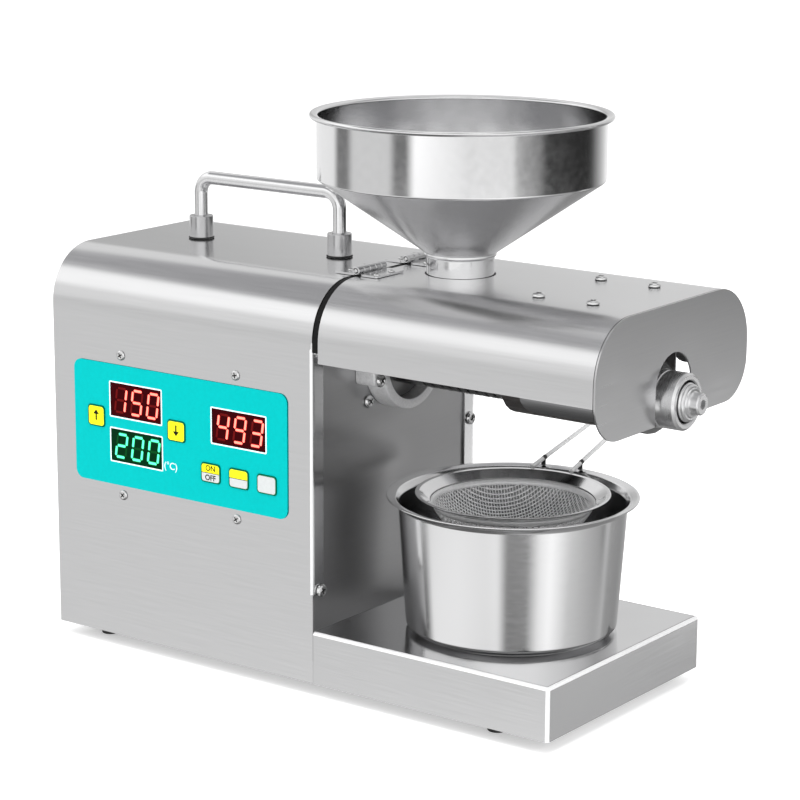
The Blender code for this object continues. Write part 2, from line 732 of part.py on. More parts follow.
def make_motor(motor_pinion):
    front = CASE_BACK - GAP
    rear = front - MOTOR_LENGTH
    bore = MOTOR_SHAFT_RADIUS + GAP
    cavity = MOTOR_RADIUS - MOTOR_WALL
    round_over = 0.003
    can = [
        (bore, front),
        (MOTOR_RADIUS - round_over, front),
        (MOTOR_RADIUS, front - round_over),
        (MOTOR_RADIUS, rear),
        (cavity, rear),
        (cavity, front - MOTOR_WALL),
        (bore, front - MOTOR_WALL),
    ]
    turned("motor_can", can, WINDING_GREY, 28, (0, 0, MOTOR_Z), "X")
    bell_front, bell_rear = rear - GAP, rear - GAP - BELL_LENGTH
    bell = [
        (bore, bell_front),
        (MOTOR_RADIUS, bell_front),
        (MOTOR_RADIUS, bell_front - BELL_LENGTH / 2),
        (MOTOR_RADIUS * 0.8, bell_rear),
        (bore, bell_rear),
    ]
    turned("motor_end_bell", bell, CAST, 28, (0, 0, MOTOR_Z), "X")
    fan_front = bell_rear - 0.003
    fan_rear = fan_front - FAN_LENGTH
    rotor = cavity - 0.002
    shaft = [
        (0, fan_rear - GAP),
        (MOTOR_SHAFT_RADIUS, fan_rear - GAP),
        (MOTOR_SHAFT_RADIUS, rear + MOTOR_WALL),
        (rotor, rear + MOTOR_WALL),
        (rotor, front - 2 * MOTOR_WALL),
        (MOTOR_SHAFT_RADIUS, front - 2 * MOTOR_WALL),
        (MOTOR_SHAFT_RADIUS, FIRST_STAGE_X[1]),
        (0, FIRST_STAGE_X[1]),
    ]
    motor_shaft = turned("motor_shaft", shaft, TOOL_STEEL, 20, (0, 0, MOTOR_Z), "X")
    motor_fan = make_fan(fan_rear, fan_front)
    carry("motor_axis", (0, 0, MOTOR_Z), [motor_pinion, motor_shaft, motor_fan])
    saddle = MOTOR_RADIUS + GAP
    reach = pi / 2 - 0.75
    concave = arc((0, MOTOR_Z), saddle, -pi / 2 + reach, -pi / 2 - reach, 10)
    foot = SHEET + GAP
    outline = [(-CRADLE_HALF, foot), (CRADLE_HALF, foot), *concave]
    middle = (CRADLE_X[0] + CRADLE_X[1]) / 2
    plate("motor_cradle", [outline], CRADLE_X[1] - CRADLE_X[0], CAST, (middle, 0, 0), "X")


def make_fan(low, high):
    """A hub with flat radial blades, pressed on the motor shaft's rear end."""
    hub_radius = MOTOR_SHAFT_RADIUS + 0.006
    bore = MOTOR_SHAFT_RADIUS + GAP
    hub = [(bore, low), (hub_radius, low), (hub_radius, high), (bore, high)]
    fan = turned("motor_fan", hub, BLACK_PLASTIC, 16, (0, 0, MOTOR_Z), "X")
    bm = bmesh.new()
    for blade in range(FAN_BLADES):
        verts = add_box(bm, (low + GAP, -0.0008, hub_radius - 0.0015), (high - GAP, 0.0008, FAN_RADIUS))
        turn = Matrix.Rotation(tau * blade / FAN_BLADES, 3, "X")
        bmesh.ops.rotate(bm, cent=(0, 0, 0), matrix=turn, verts=verts)
    bmesh.ops.translate(bm, vec=(0, 0, MOTOR_Z), verts=bm.verts)
    cut(fan, place_bmesh("fan_blades", bm, None), "UNION")
    return fan


def make_press_screw():
    """The worm: one section with a flight lobe, swept along the axis while it turns."""
    lobe = [(FLIGHT_RADIUS, radians(a)) for a in (-24, 0, 24)]
    core_angles = [radians(42 + 276 * i / 7) for i in range(8)]
    section = lobe + [(CORE_REAR, a) for a in core_angles]
    bm = bmesh.new()
    start = [bm.verts.new((FLIGHT_START, r * sin(a), r * cos(a))) for r, a in section]
    face = bm.faces.new(start)
    steps = FLIGHT_TURNS * FLIGHT_STEPS
    swept = bmesh.ops.spin(
        bm,
        geom=[face],
        cent=(0, 0, 0),
        axis=(1, 0, 0),
        dvec=((FLIGHT_END - FLIGHT_START) / steps, 0, 0),
        angle=-tau * FLIGHT_TURNS,
        steps=steps,
    )["geom_last"]
    slope = (CORE_FRONT - CORE_REAR) / (FLIGHT_END - FLIGHT_START)
    for vert in bm.verts:
        if vert.co.yz.length < (CORE_REAR + FLIGHT_RADIUS) / 2:
            wanted = CORE_REAR + slope * (vert.co.x - FLIGHT_START)
            vert.co.yz *= wanted / vert.co.yz.length
    first = [f for f in bm.faces if all(v.co.x < FLIGHT_START + 1e-6 for v in f.verts)]
    last = [item for item in swept if isinstance(item, bmesh.types.BMFace)]
    draw_out(bm, last, ((FLIGHT_END, CONE_FACE), (NUT_END + GAP, CONE_FACE), (NUT_END + GAP * 4, CONE_RING),
                        (STUB_START - 0.0015, CONE_RING), (STUB_START, STUB_RADIUS), (STUB_END, STUB_RADIUS)))
    neck = HUB_END + GAP
    draw_out(bm, first, ((FLIGHT_START, CORE_REAR + GAP), (neck, CORE_REAR + GAP), (neck, TAIL_RADIUS * 0.84),
                         (TAIL_START, TAIL_RADIUS * 0.84)))
    bmesh.ops.translate(bm, vec=(0, 0, PRESS_Z), verts=bm.verts)
    worm = place_bmesh("press_screw", bm, TOOL_STEEL)
    tail = ((TAIL_START + GAP, 0, PRESS_Z), (neck + GAP, 0, PRESS_Z))
    cut(worm, rod("hex_tail", TAIL_RADIUS, *tail, None, 6, "X"), "UNION")
    socket = ((STUB_END - 0.004, 0, PRESS_Z), (STUB_END + GAP, 0, PRESS_Z))
    cut(worm, rod("key_socket", KEY_SOCKET, *socket, None, 6, "X"))
    return worm


def draw_out(bm, faces, stations):
    """Extrude an end face from station to station, each a distance along X and a radius."""
    for x, radius in stations:
        result = bmesh.ops.extrude_face_region(bm, geom=faces)
        fresh = result["geom"]
        bmesh.ops.delete(bm, geom=faces, context="FACES_ONLY")
        for vert in (item for item in fresh if isinstance(item, bmesh.types.BMVert)):
            vert.co.yz *= radius / vert.co.yz.length
            vert.co.x = x
        faces = [item for item in fresh if isinstance(item, bmesh.types.BMFace)]


def make_press_line():
    seat_profile = [
        (SEAT_FLOOR_BORE, -SHEET),
        (SEAT_RADIUS, -SHEET),
        (SEAT_RADIUS, SEAT_FRONT),
        (SEAT_BORE, SEAT_FRONT),
        (SEAT_BORE, SEAT_FLOOR - SHEET),
        (SEAT_FLOOR_BORE, SEAT_FLOOR - SHEET),
    ]
    seat = turned("press_seat", seat_profile, CAST, 28, (0, 0, PRESS_Z), "X")
    overlap = SEAT_BORE + 0.002
    for side, name in ((-1, "near_ear"), (1, "far_ear")):
        ys = sorted((side * EAR_REACH, side * overlap))
        ear = block(name, (-SHEET * 0.9, ys[0], PRESS_Z - EAR_HALF), (SEAT_FRONT * 0.98, ys[1], PRESS_Z + EAR_HALF), None)
        corner = ear.modifiers.new("round", "BEVEL")
        corner.width = 0.004
        corner.segments = 2
        corner.limit_method = "ANGLE"
        cut(seat, ear, "UNION")
    flange = SEAT_BORE - 2 * GAP
    barrel_profile = [
        (BARREL_BORE, BARREL_START),
        (flange, BARREL_START),
        (flange, BARREL_START + BARREL_FLANGE),
        (BARREL_RADIUS, BARREL_START + BARREL_FLANGE),
        (BARREL_RADIUS, BARREL_END),
        (BARREL_BORE, BARREL_END),
    ]
    barrel = turned("press_barrel", barrel_profile, TOOL_STEEL, 22, (0, 0, PRESS_Z), "X")
    port = ((FEED_X, 0, PRESS_Z + BARREL_BORE / 3), (FEED_X, 0, PRESS_Z + BARREL_RADIUS * 2))
    cut(barrel, rod("feed_port", FEED_PORT, *port, None, 16))
    for index in range(OIL_SLOT_COUNT):
        x = OIL_SLOT_FIRST + index * OIL_SLOT_PITCH
        reach = BARREL_RADIUS + SHEET
        low = (x - OIL_SLOT_WIDTH / 2, -reach, PRESS_Z - reach)
        high = (x + OIL_SLOT_WIDTH / 2, reach, PRESS_Z - OIL_SLOT_DEPTH)
        cut(barrel, block(f"oil_slot_{index}", low, high, None))
    sleeve = BARREL_RADIUS + GAP
    heater_profile = [(sleeve, HEATER_X[0]), (HEATER_RADIUS, HEATER_X[0]), (HEATER_RADIUS, HEATER_X[1]), (sleeve, HEATER_X[1])]
    heater = turned("heater_jacket", heater_profile, DARK_STEEL, 24, (0, 0, PRESS_Z), "X")
    middle = (HEATER_X[0] + HEATER_X[1]) / 2
    ears_low = (middle - 0.012, -HEATER_SLIT / 2 - 0.0025, PRESS_Z + HEATER_RADIUS - 0.003)
    ears_high = (middle + 0.012, HEATER_SLIT / 2 + 0.0025, PRESS_Z + HEATER_RADIUS + HEATER_EAR)
    cut(heater, block("clamp_ears", ears_low, ears_high, None), "UNION")
    slit_low = (HEATER_X[0] - GAP, -HEATER_SLIT / 2, PRESS_Z + sleeve / 2)
    slit_high = (HEATER_X[1] + GAP, HEATER_SLIT / 2, PRESS_Z + HEATER_RADIUS * 2)
    cut(heater, block("heater_slit", slit_low, slit_high, None))
    collar_back = HEATER_X[1] + GAP
    collar_front = collar_back + COLLAR_LENGTH - GAP
    collar = [
        (sleeve, collar_back),
        (HEATER_RADIUS, collar_back),
        (HEATER_RADIUS - COLLAR_CHAMFER / 6, collar_back + COLLAR_LENGTH * 0.3),
        (HEATER_RADIUS - COLLAR_CHAMFER, collar_front),
        (sleeve, collar_front),
    ]
    turned("end_collar", collar, POLISHED, 24, (0, 0, PRESS_Z), "X")
    nut_back = BARREL_END + GAP
    nut = [
        (BARREL_BORE, nut_back),
        (NUT_RADIUS, nut_back),
        (NUT_RADIUS, NUT_END - NUT_CHAMFER),
        (NUT_RADIUS - NUT_CHAMFER, NUT_END),
        (BARREL_BORE + NUT_CHAMFER / 2, NUT_END),
        (BARREL_BORE, NUT_END - NUT_CHAMFER / 2),
    ]
    choke = turned("choke_nut", nut, POLISHED, 28, (0, 0, PRESS_Z), "X")
    carry("choke_nut_axis", (0, 0, PRESS_Z), [choke])
    make_feed_chute()


def make_feed_chute():
    """The funnel that sits astride the barrel and takes the hopper's throat."""
    ledge = THROAT_END - GAP
    foot = PRESS_Z + BARREL_RADIUS / 2
    nest = THROAT_RADIUS + 2 * GAP
    profile = [
        (FEED_PORT, foot),
        (CHUTE_NECK, foot),
        (CHUTE_NECK, PRESS_Z + BARREL_RADIUS + 0.012),
        (CHUTE_RADIUS, ledge - 0.004),
        (CHUTE_RADIUS, CHUTE_TOP),
        (nest, CHUTE_TOP),
        (nest, ledge),
        (THROAT_RADIUS - HOPPER_SHEET - GAP, ledge),
        (FEED_PORT, PRESS_Z + BARREL_RADIUS + 0.010),
    ]
    chute = turned("feed_chute", profile, BRUSHED, 28, (FEED_X, 0, 0))
    low = (FEED_X - 2 * CHUTE_RADIUS, 0, PRESS_Z)
    high = (FEED_X + 2 * CHUTE_RADIUS, 0, PRESS_Z)
    cut(chute, rod("barrel_saddle", BARREL_RADIUS + GAP, low, high, None, 24, "X"))


def lip_half_width(z):
    """Half the hood's width where its side curls in towards the end plate's foot."""
    centre = END_BOTTOM + END_LOWER_CORNER
    if z >= centre:
        return HALF
    return HALF - END_LOWER_CORNER + sqrt(END_LOWER_CORNER**2 - (centre - z) ** 2)


def make_hood():
    lip_foot = HOOD_SKIRT - LIP_CORNER
    curl = [(lip_half_width(lip_foot + i * 0.0025), lip_foot + i * 0.0025) for i in range(4)]
    right = [*curl, *hoop(HALF, HOUSING_TOP, CORNER, END_BOTTOM + END_LOWER_CORNER)]
    section = [*right, *[(-y, z) for y, z in reversed(curl)]]
    bm = bmesh.new()
    verts = [bm.verts.new((HOOD_START, y, z)) for y, z in section]
    edges = [bm.edges.new(pair) for pair in zip(verts, verts[1:])]
    swept = bmesh.ops.extrude_edge_only(bm, edges=edges)["geom"]
    moved = [item for item in swept if isinstance(item, bmesh.types.BMVert)]
    bmesh.ops.translate(bm, vec=(HOOD_END - HOOD_START, 0, 0), verts=moved)
    cover = place_bmesh("hood_cover", bm, BRUSHED)
    face_outwards(cover)
    thicken(cover, SHEET)
    corner = arc((LIP_START + LIP_CORNER, HOOD_SKIRT), LIP_CORNER, pi, 1.5 * pi, 5)
    under = [(HOOD_START - 0.01, HOOD_SKIRT), (HOOD_START - 0.01, HOOD_SKIRT - 0.02),
             (LIP_START + LIP_CORNER, HOOD_SKIRT - 0.02), *corner[::-1]]
    skirt = as_mesh(plate("skirt_cut", [under], WIDTH + 0.02, BRUSHED, facing="-Y"))
    parts.objects.unlink(skirt)
    cutters.objects.link(skirt)
    skirt.display_type = "WIRE"
    skirt.hide_render = True
    cut(cover, skirt)
    hole = ((FEED_X, 0, HOUSING_TOP - 0.01), (FEED_X, 0, HOUSING_TOP + 0.01))
    cut(cover, rod("throat_hole", THROAT_HOLE, *hole, None, 28))
    end_outline = [
        *arc((ARCH_HALF * 0, ARCH_TOP - ARCH_HALF), ARCH_HALF, pi, 0, 14),
        (ARCH_HALF, END_BOTTOM),
        *arc((HALF - END_LOWER_CORNER, END_BOTTOM + END_LOWER_CORNER), END_LOWER_CORNER, -pi / 2, 0, 6),
        *hoop(HALF, HOUSING_TOP, CORNER, HOUSING_TOP - CORNER - 0.001)[1:-1],
        *arc((END_LOWER_CORNER - HALF, END_BOTTOM + END_LOWER_CORNER), END_LOWER_CORNER, pi, 1.5 * pi, 6),
        (-ARCH_HALF, END_BOTTOM),
    ]
    end = plate("hood_end_plate", [end_outline], SHEET, BRUSHED, (HOOD_END + GAP + SHEET / 2, 0, 0), "X")
    shield = make_heat_shield()
    carry("hood_axis", (HINGE_X, 0, HINGE_Z), [cover, end, shield, *make_hinges()])
    outer = hoop(HALF - GASKET_INSET, HOUSING_TOP - GASKET_INSET, CORNER - GASKET_INSET, END_BOTTOM)
    inner = hoop(HALF - GASKET_DEPTH, HOUSING_TOP - GASKET_DEPTH, CORNER - GASKET_DEPTH, END_BOTTOM)
    thickness = HOOD_START - 2 * GAP
    gasket = as_mesh(plate("hood_gasket", [[*outer, *inner[::-1]]], thickness, RUBBER, (HOOD_START / 2, 0, 0), "X"))
    cut(gasket, block("gasket_legs", (0, -WIDTH, END_BOTTOM - SHEET), (HOOD_START, WIDTH, GASKET_FOOT), None))


def make_heat_shield():
    """An inverted channel under the hood's roof, over the heated end of the barrel."""
    roof = HOUSING_TOP - SHEET - GAP
    section = [(SHIELD_HALF, SHIELD_FOOT), (SHIELD_HALF, roof), (-SHIELD_HALF, roof), (-SHIELD_HALF, SHIELD_FOOT)]
    bm = bmesh.new()
    verts = [bm.verts.new((SHIELD_X[0], y, z)) for y, z in section]
    edges = [bm.edges.new(pair) for pair in zip(verts, verts[1:])]
    swept = bmesh.ops.extrude_edge_only(bm, edges=edges)["geom"]
    moved = [item for item in swept if isinstance(item, bmesh.types.BMVert)]
    bmesh.ops.translate(bm, vec=(SHIELD_X[1] - SHIELD_X[0], 0, 0), verts=moved)
    shield = place_bmesh("heat_shield", bm, BRUSHED)
    face_outwards(shield)
    thicken(shield, SHEET)
    return shield


def make_hinges():
    """Two butt hinges: leaf plates with alternating knuckles round a pin along Y."""
    hood_leaves = []
    knuckle = HINGE_LENGTH / KNUCKLES
    for side, start in zip(("near", "far"), HINGE_Y):
        end = start + HINGE_LENGTH
        pin_ends = ((HINGE_X, start, HINGE_Z), (HINGE_X, end, HINGE_Z))
        rod(f"hinge_pin_{side}", PIN_RADIUS, *pin_ends, TOOL_STEEL, 8, "Y")
        for name, direction, parity in (("fixed", -1, 0), ("hood", 1, 1)):
            leaf = hinge_leaf(f"hinge_leaf_{name}_{side}", direction, start, end)
            knuckles, tabs = bmesh.new(), bmesh.new()
            for index in range(parity, KNUCKLES, 2):
                low = start + index * knuckle + GAP / 2
                high = low + knuckle - GAP
                add_rod(knuckles, KNUCKLE_RADIUS, (HINGE_X, low, HINGE_Z), (HINGE_X, high, HINGE_Z), 12, "Y")
                xs = sorted((HINGE_X, HINGE_X + direction * (KNUCKLE_RADIUS + SHEET)))
                margin = SHEET / 12
                tab_low = (xs[0], low + margin, LEAF_Z + margin)
                add_box(tabs, tab_low, (xs[1], high - margin, LEAF_Z + SHEET - margin))
            cut(leaf, place_bmesh(leaf.name + "_knuckles", knuckles, None), "UNION")
            cut(leaf, place_bmesh(leaf.name + "_tabs", tabs, None), "UNION")
            bore_ends = ((HINGE_X, start - SHEET, HINGE_Z), (HINGE_X, end + SHEET, HINGE_Z))
            cut(leaf, rod(leaf.name + "_bore", PIN_RADIUS + GAP, *bore_ends, None, 8, "Y"))
            if name == "hood":
                hood_leaves.append(leaf)
    return hood_leaves


def hinge_leaf(name, direction, start, end):
    xs = sorted((HINGE_X + direction * (KNUCKLE_RADIUS + GAP), HINGE_X + direction * LEAF_REACH))
    return block(name, (xs[0], start, LEAF_Z), (xs[1], end, LEAF_Z + SHEET), POLISHED)


def make_hopper():
    wall = HOPPER_SHEET
    lip = RIM_LIP / 2
    outer = [
        (RIM_RADIUS - lip, RIM_TOP),
        (RIM_RADIUS, RIM_TOP - lip),
        (RIM_RADIUS - lip, RIM_TOP - RIM_LIP),
        (HOPPER_RADIUS, RIM_TOP - RIM_LIP),
        (HOPPER_RADIUS, CONE_TOP),
        (THROAT_RADIUS + wall, CONE_BOTTOM),
        (THROAT_RADIUS, CONE_BOTTOM - wall),
        (THROAT_RADIUS, THROAT_END),
    ]
    inner = [
        (THROAT_RADIUS - wall, THROAT_END),
        (THROAT_RADIUS - wall, CONE_BOTTOM),
        (HOPPER_RADIUS - wall, CONE_TOP + wall),
        (HOPPER_RADIUS - wall, RIM_TOP - wall),
    ]
    hopper = turned("hopper", outer + inner, POLISHED, 36, (FEED_X, 0, 0))
    carry("hopper_axis", (FEED_X, 0, THROAT_END), [hopper])


def make_pot():
    floor = TRAY_HEIGHT + GAP
    flange = 0.0012
    outer = [
        (0, floor),
        (POT_LOWER - POT_ROUND, floor),
        (POT_LOWER - POT_ROUND * 0.3, floor + POT_ROUND * 0.3),
        (POT_LOWER, floor + POT_ROUND),
        (POT_UPPER, POT_TOP - 0.004),
        (POT_UPPER + 0.002, POT_TOP - flange),
        (POT_RIM, POT_TOP - flange),
        (POT_RIM, POT_TOP),
    ]
    inner = [
        (POT_UPPER + 0.0018, POT_TOP),
        (POT_UPPER - POT_WALL, POT_TOP - 0.004),
        (POT_LOWER - POT_WALL, floor + POT_ROUND),
        (POT_LOWER - POT_ROUND, floor + POT_WALL),
        (0, floor + POT_WALL),
    ]
    pot = turned("oil_pot", outer + inner, POLISHED, 32, (POT_X, 0, 0))
    carry("pot_axis", (POT_X, 0, floor), [pot])


def make_strainer():
    sheet = STRAINER_SHEET
    band_foot = STRAINER_TOP - STRAINER_BAND
    rim = [
        (STRAINER_RIM, STRAINER_TOP),
        (STRAINER_RIM, STRAINER_TOP - sheet),
        (STRAINER_RIM - 0.002, STRAINER_TOP - sheet * 2),
        (STRAINER_THROAT + sheet, band_foot),
        (STRAINER_THROAT, band_foot),
        (STRAINER_RIM - 0.003, STRAINER_TOP),
    ]
    band = turned("strainer_rim", rim, POLISHED, 32, (POT_X, 0, 0))
    top = band_foot - GAP
    sphere = (STRAINER_THROAT**2 + BOWL_DEPTH**2) / (2 * BOWL_DEPTH)
    spread = [STRAINER_THROAT * i / 5 for i in range(6)]
    cup = [(r, top - BOWL_DEPTH + sphere - sqrt(sphere**2 - r**2)) for r in spread]
    bowl = [*cup, *[(r, z - sheet) for r, z in reversed(cup)]]
    bowl[6:7] = [(STRAINER_THROAT, top - sheet)]
    mesh_bowl = turned("strainer_bowl", bowl, CHROME, 28, (POT_X, 0, 0))
    wires = make_strainer_handle()
    carry("strainer_axis", (POT_X, 0, STRAINER_TOP), [band, mesh_bowl, wires])


def make_strainer_handle():
    """One wire bent to a long loop: both ends on the strainer's rim, with a hook foot on the pot's rim."""
    along = Vector((cos(WIRE_HEADING), sin(WIRE_HEADING), tan(WIRE_PITCH)))
    across = Vector((sin(WIRE_HEADING), -cos(WIRE_HEADING), 0))
    ring = WIRE_ROOT_RADIUS
    root = Vector((POT_X + ring * cos(WIRE_ROOT_ANGLE), ring * sin(WIRE_ROOT_ANGLE), STRAINER_TOP + WIRE_LIFT))
    far = root + along * WIRE_REACH
    starts, ends, feet = [], [], bmesh.new()
    for side in (-1, 1):
        end = far + across * side * WIRE_END_SPREAD
        shank = (end - root - across * side * WIRE_SPREAD).normalized()
        start = along_to(end, shank, ring)
        start.z = root.z
        perch = along_to(end, shank, (POT_UPPER + POT_RIM) / 2)
        perch.z = start.z + (end.z - start.z) * (perch - start).xy.length / (end - start).xy.length
        add_rod(feet, WIRE_RADIUS * 0.9, (perch.x, perch.y, POT_TOP + GAP), perch, 10)
        starts.append(start)
        ends.append(end)
    handle = as_mesh(wire("strainer_handle", bent([starts[0], *ends, starts[1]], WIRE_BEND, 4), WIRE_RADIUS, POLISHED))
    cut(handle, place_bmesh("hook_feet", feet, None), "UNION")
    return handle


def along_to(point, direction, radius):
    """Where the line through the point first leaves a circle of the radius round the pot's axis."""
    offset = Vector((point.x - POT_X, point.y))
    flat = direction.xy
    half_b = offset.dot(flat) / flat.length_squared
    rest = (offset.length_squared - radius**2) / flat.length_squared
    return point + direction * (-half_b + sqrt(half_b**2 - rest))


def make_panel():
    outline = rounded_rectangle(PANEL[:2], PANEL[2:], PANEL_CORNER)
    openings = [[(x0, z0), (x1, z0), (x1, z1), (x0, z1)] for x0, z0, x1, z1 in [*WINDOWS.values(), *BUTTONS.values()]]
    film_y = -HALF - GAP - PANEL_THICK / 2
    plate("panel_film", [outline, *openings], PANEL_THICK, PANEL_FILM, (0, film_y, 0), "-Y")
    front = -HALF - GAP - PANEL_THICK
    for name, (x0, z0, x1, z1) in WINDOWS.items():
        low, high = (x0 + GAP, front, z0 + GAP), (x1 - GAP, BOARD_Y - GAP, z1 - GAP)
        block(name, low, high, DARK_WINDOW)
    board_low = (PANEL[0] + BOX_MARGIN, BOARD_Y, PANEL[1] + BOX_MARGIN)
    board_high = (PANEL[2] - BOX_MARGIN, BOARD_Y + BOARD_THICK, PANEL[3] - BOX_MARGIN)
    board = block("control_board", board_low, board_high, BOARD_GREEN)
    switches = bmesh.new()
    for name, (x0, z0, x1, z1) in BUTTONS.items():
        x, z = (x0 + x1) / 2, (z0 + z1) / 2
        half = KEY_SWITCH / 2
        top = BOARD_Y - KEY_SWITCH_HEIGHT
        add_box(switches, (x - half, top, z - half), (x + half, BOARD_Y + BOARD_THICK / 2, z + half))
        outer = -HALF - GAP - PANEL_THICK - BUTTON_PROUD
        look = GREY_KEY if name == "button_clear" else YELLOW_KEY
        button = block(name, (x0 + GAP, outer, z0 + GAP), (x1 - GAP, outer + BUTTON_THICK, z1 - GAP), look)
        stem_ends = ((x, outer + BUTTON_THICK / 2, z), (x, top - BUTTON_TRAVEL - GAP / 2, z))
        cut(button, rod(name + "_stem", STEM_RADIUS, *stem_ends, None, 10, "Y"), "UNION")
        carry(name + "_axis", (x, outer, z), [button])
    cut(board, place_bmesh("key_switches", switches, None), "UNION")
    make_control_box()


def make_control_box():
    """The moulded box behind the panel, held by the four panel screws in its bosses."""
    low = (PANEL[0] + GAP, -INNER + GAP, PANEL[1] - BOX_MARGIN)
    high = (PANEL[2] - GAP, BOX_BACK, PANEL[3] + BOX_MARGIN)
    bm = bmesh.new()
    add_box(bm, low, high)
    gone = [face for face in bm.faces if face.normal.y < -0.9]
    bmesh.ops.delete(bm, geom=gone, context="FACES")
    box = place_bmesh("control_box", bm, BLACK_PLASTIC)
    thicken(box, BOX_WALL)
    boss_bm = bmesh.new()
    for x, z in PANEL_SCREWS:
        add_rod(boss_bm, PANEL_SCREW_BOSS, (x, -INNER + GAP * 1.5, z), (x, BOX_BACK - BOX_WALL / 2, z), 14, "Y")
    for z in (PANEL[1] + 2 * BOX_MARGIN, PANEL[3] - 2 * BOX_MARGIN):
        for x in (PANEL[0] + 3 * BOX_MARGIN, PANEL[2] - 3 * BOX_MARGIN):
            post_front = BOARD_Y + BOARD_THICK + GAP
            add_rod(boss_bm, BOX_MARGIN, (x, post_front, z), (x, BOX_BACK - BOX_WALL / 2, z), 10, "Y")
    cut(box, place_bmesh("box_bosses", boss_bm, None), "UNION")
    clear_bm = bmesh.new()
    margin = 2 * GAP
    add_box(
        clear_bm,
        (low[0] + BOX_WALL, -HALF, low[2] + BOX_WALL),
        (high[0] - BOX_WALL, BOARD_Y + BOARD_THICK + margin / 2, high[2] - BOX_WALL),
    )
    cut(box, place_bmesh("board_bay", clear_bm, None))


def make_power_inlet():
    flange_back = REAR_WALL_X - SHEET / 2 - GAP
    inlet_y, inlet_z = INLET_Y, INLET_Z
    body_w, body_h = INLET_BODY[0] / 2, INLET_BODY[1] / 2
    body = block(
        "power_inlet",
        (flange_back - SHEET / 2, inlet_y - body_w, inlet_z - body_h),
        (flange_back + INLET_DEPTH, inlet_y + body_w, inlet_z + body_h),
        BLACK_PLASTIC,
    )
    flange_w, flange_h = INLET_FLANGE[0] / 2, INLET_FLANGE[1] / 2
    flange = block(
        "inlet_flange",
        (BODY_REAR, inlet_y - flange_w, inlet_z - flange_h),
        (flange_back, inlet_y + flange_w, inlet_z + flange_h),
        None,
    )
    cut(body, flange, "UNION")
    recess_w, recess_h = INLET_RECESS[0] / 2, INLET_RECESS[1] / 2
    floor = flange_back + INLET_DEPTH - 0.002
    recess = block(
        "inlet_recess",
        (BODY_REAR - SHEET, inlet_y - recess_w, inlet_z - recess_h),
        (floor, inlet_y + recess_w, inlet_z + recess_h),
        None,
    )
    cut(body, recess)
    bm = bmesh.new()
    for y, z in ((-0.0070, -0.002), (0, 0.002), (0.0070, -0.002)):
        low = (floor - 0.012, inlet_y + y - 0.001, inlet_z + z - 0.002)
        high = (floor + SHEET / 2, inlet_y + y + 0.001, inlet_z + z + 0.002)
        add_box(bm, low, high)
    cut(body, place_bmesh("inlet_pins", bm, None), "UNION")


make_base()
make_housing()
make_handle()
make_gearbox()
make_motor(make_gear_train())
make_press_line()
make_hood()
make_hopper()
make_pot()
make_strainer()
make_panel()
make_power_inlet()
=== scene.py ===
"""Looks of the tabletop screw oil press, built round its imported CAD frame.

All shapes are written in millimetres from the machine point (the housing's front face, the middle
plane, the underside of the pan) and brought into the frame by piece().
"""

from math import atan2, cos, pi, radians, sin, sqrt, tan, tau

import bmesh
import bpy
from mathutils import Matrix, Quaternion, Vector


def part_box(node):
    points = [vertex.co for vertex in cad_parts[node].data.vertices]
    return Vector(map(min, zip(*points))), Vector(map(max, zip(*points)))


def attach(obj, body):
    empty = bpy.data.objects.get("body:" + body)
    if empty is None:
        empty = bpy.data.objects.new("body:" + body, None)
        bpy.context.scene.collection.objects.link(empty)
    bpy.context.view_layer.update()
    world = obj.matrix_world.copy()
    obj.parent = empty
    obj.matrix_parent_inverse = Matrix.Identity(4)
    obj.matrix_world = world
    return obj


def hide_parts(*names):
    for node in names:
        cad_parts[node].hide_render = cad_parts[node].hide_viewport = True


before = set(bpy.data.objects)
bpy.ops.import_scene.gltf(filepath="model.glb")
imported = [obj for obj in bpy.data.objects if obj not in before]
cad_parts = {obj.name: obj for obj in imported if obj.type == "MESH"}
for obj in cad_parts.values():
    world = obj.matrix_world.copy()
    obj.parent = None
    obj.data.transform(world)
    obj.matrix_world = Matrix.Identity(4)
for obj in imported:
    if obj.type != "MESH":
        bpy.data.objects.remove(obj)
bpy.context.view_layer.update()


# Housing cover
# One sheet of brushed stainless steel, folded over the machine and turned in at its front edges. It
# sits on the pan and is screwed to the walls. The panel's windows and keys are cut into its near side.
low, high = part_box("housing_cover")
machine = Vector((high.x, (low.y + high.y) / 2, low.z))
sheet = 1.2
sheet_edge = 0.25
cover_half = 85.0
cover_top = 247.0
cover_corner = 35.0
cover_rear = -209.4
fold = 1.6
flange_faces = (82.5, 74.0)
flange_feet = {-1: 56, 1: 33}
fold_line_top = 208
hair = 0.01
support = 0.7
windows = {"upper": (-161.0, 144.9, -118.7, 166.6), "lower": (-161.0, 115.8, -118.4, 136.8),
           "front": (-77.6, 139.8, -35.1, 161.8)}
keys = {"up": (-180.0, 136.2, -165.8, 150.0), "down": (-113.5, 135.9, -98.9, 149.5),
        "on_off": (-86.4, 114.0, -70.8, 126.5), "press": (-64.1, 113.9, -48.4, 126.4),
        "clear": (-41.9, 114.0, -26.5, 126.1)}


def hoop(inset, foot, steps=14):
    """Section (y, z) this far inside the cover's outline, from the right foot over to the left one."""
    radius = cover_corner - inset
    reach = cover_half - cover_corner
    points = [(cover_half - inset, foot)]
    for centre, start in ((reach, 0), (-reach, pi / 2)):
        for i in range(steps + 1):
            angle = start + pi / 2 * i / steps
            points.append((centre + radius * cos(angle), cover_top - cover_corner + radius * sin(angle)))
    return points + [(inset - cover_half, foot)]


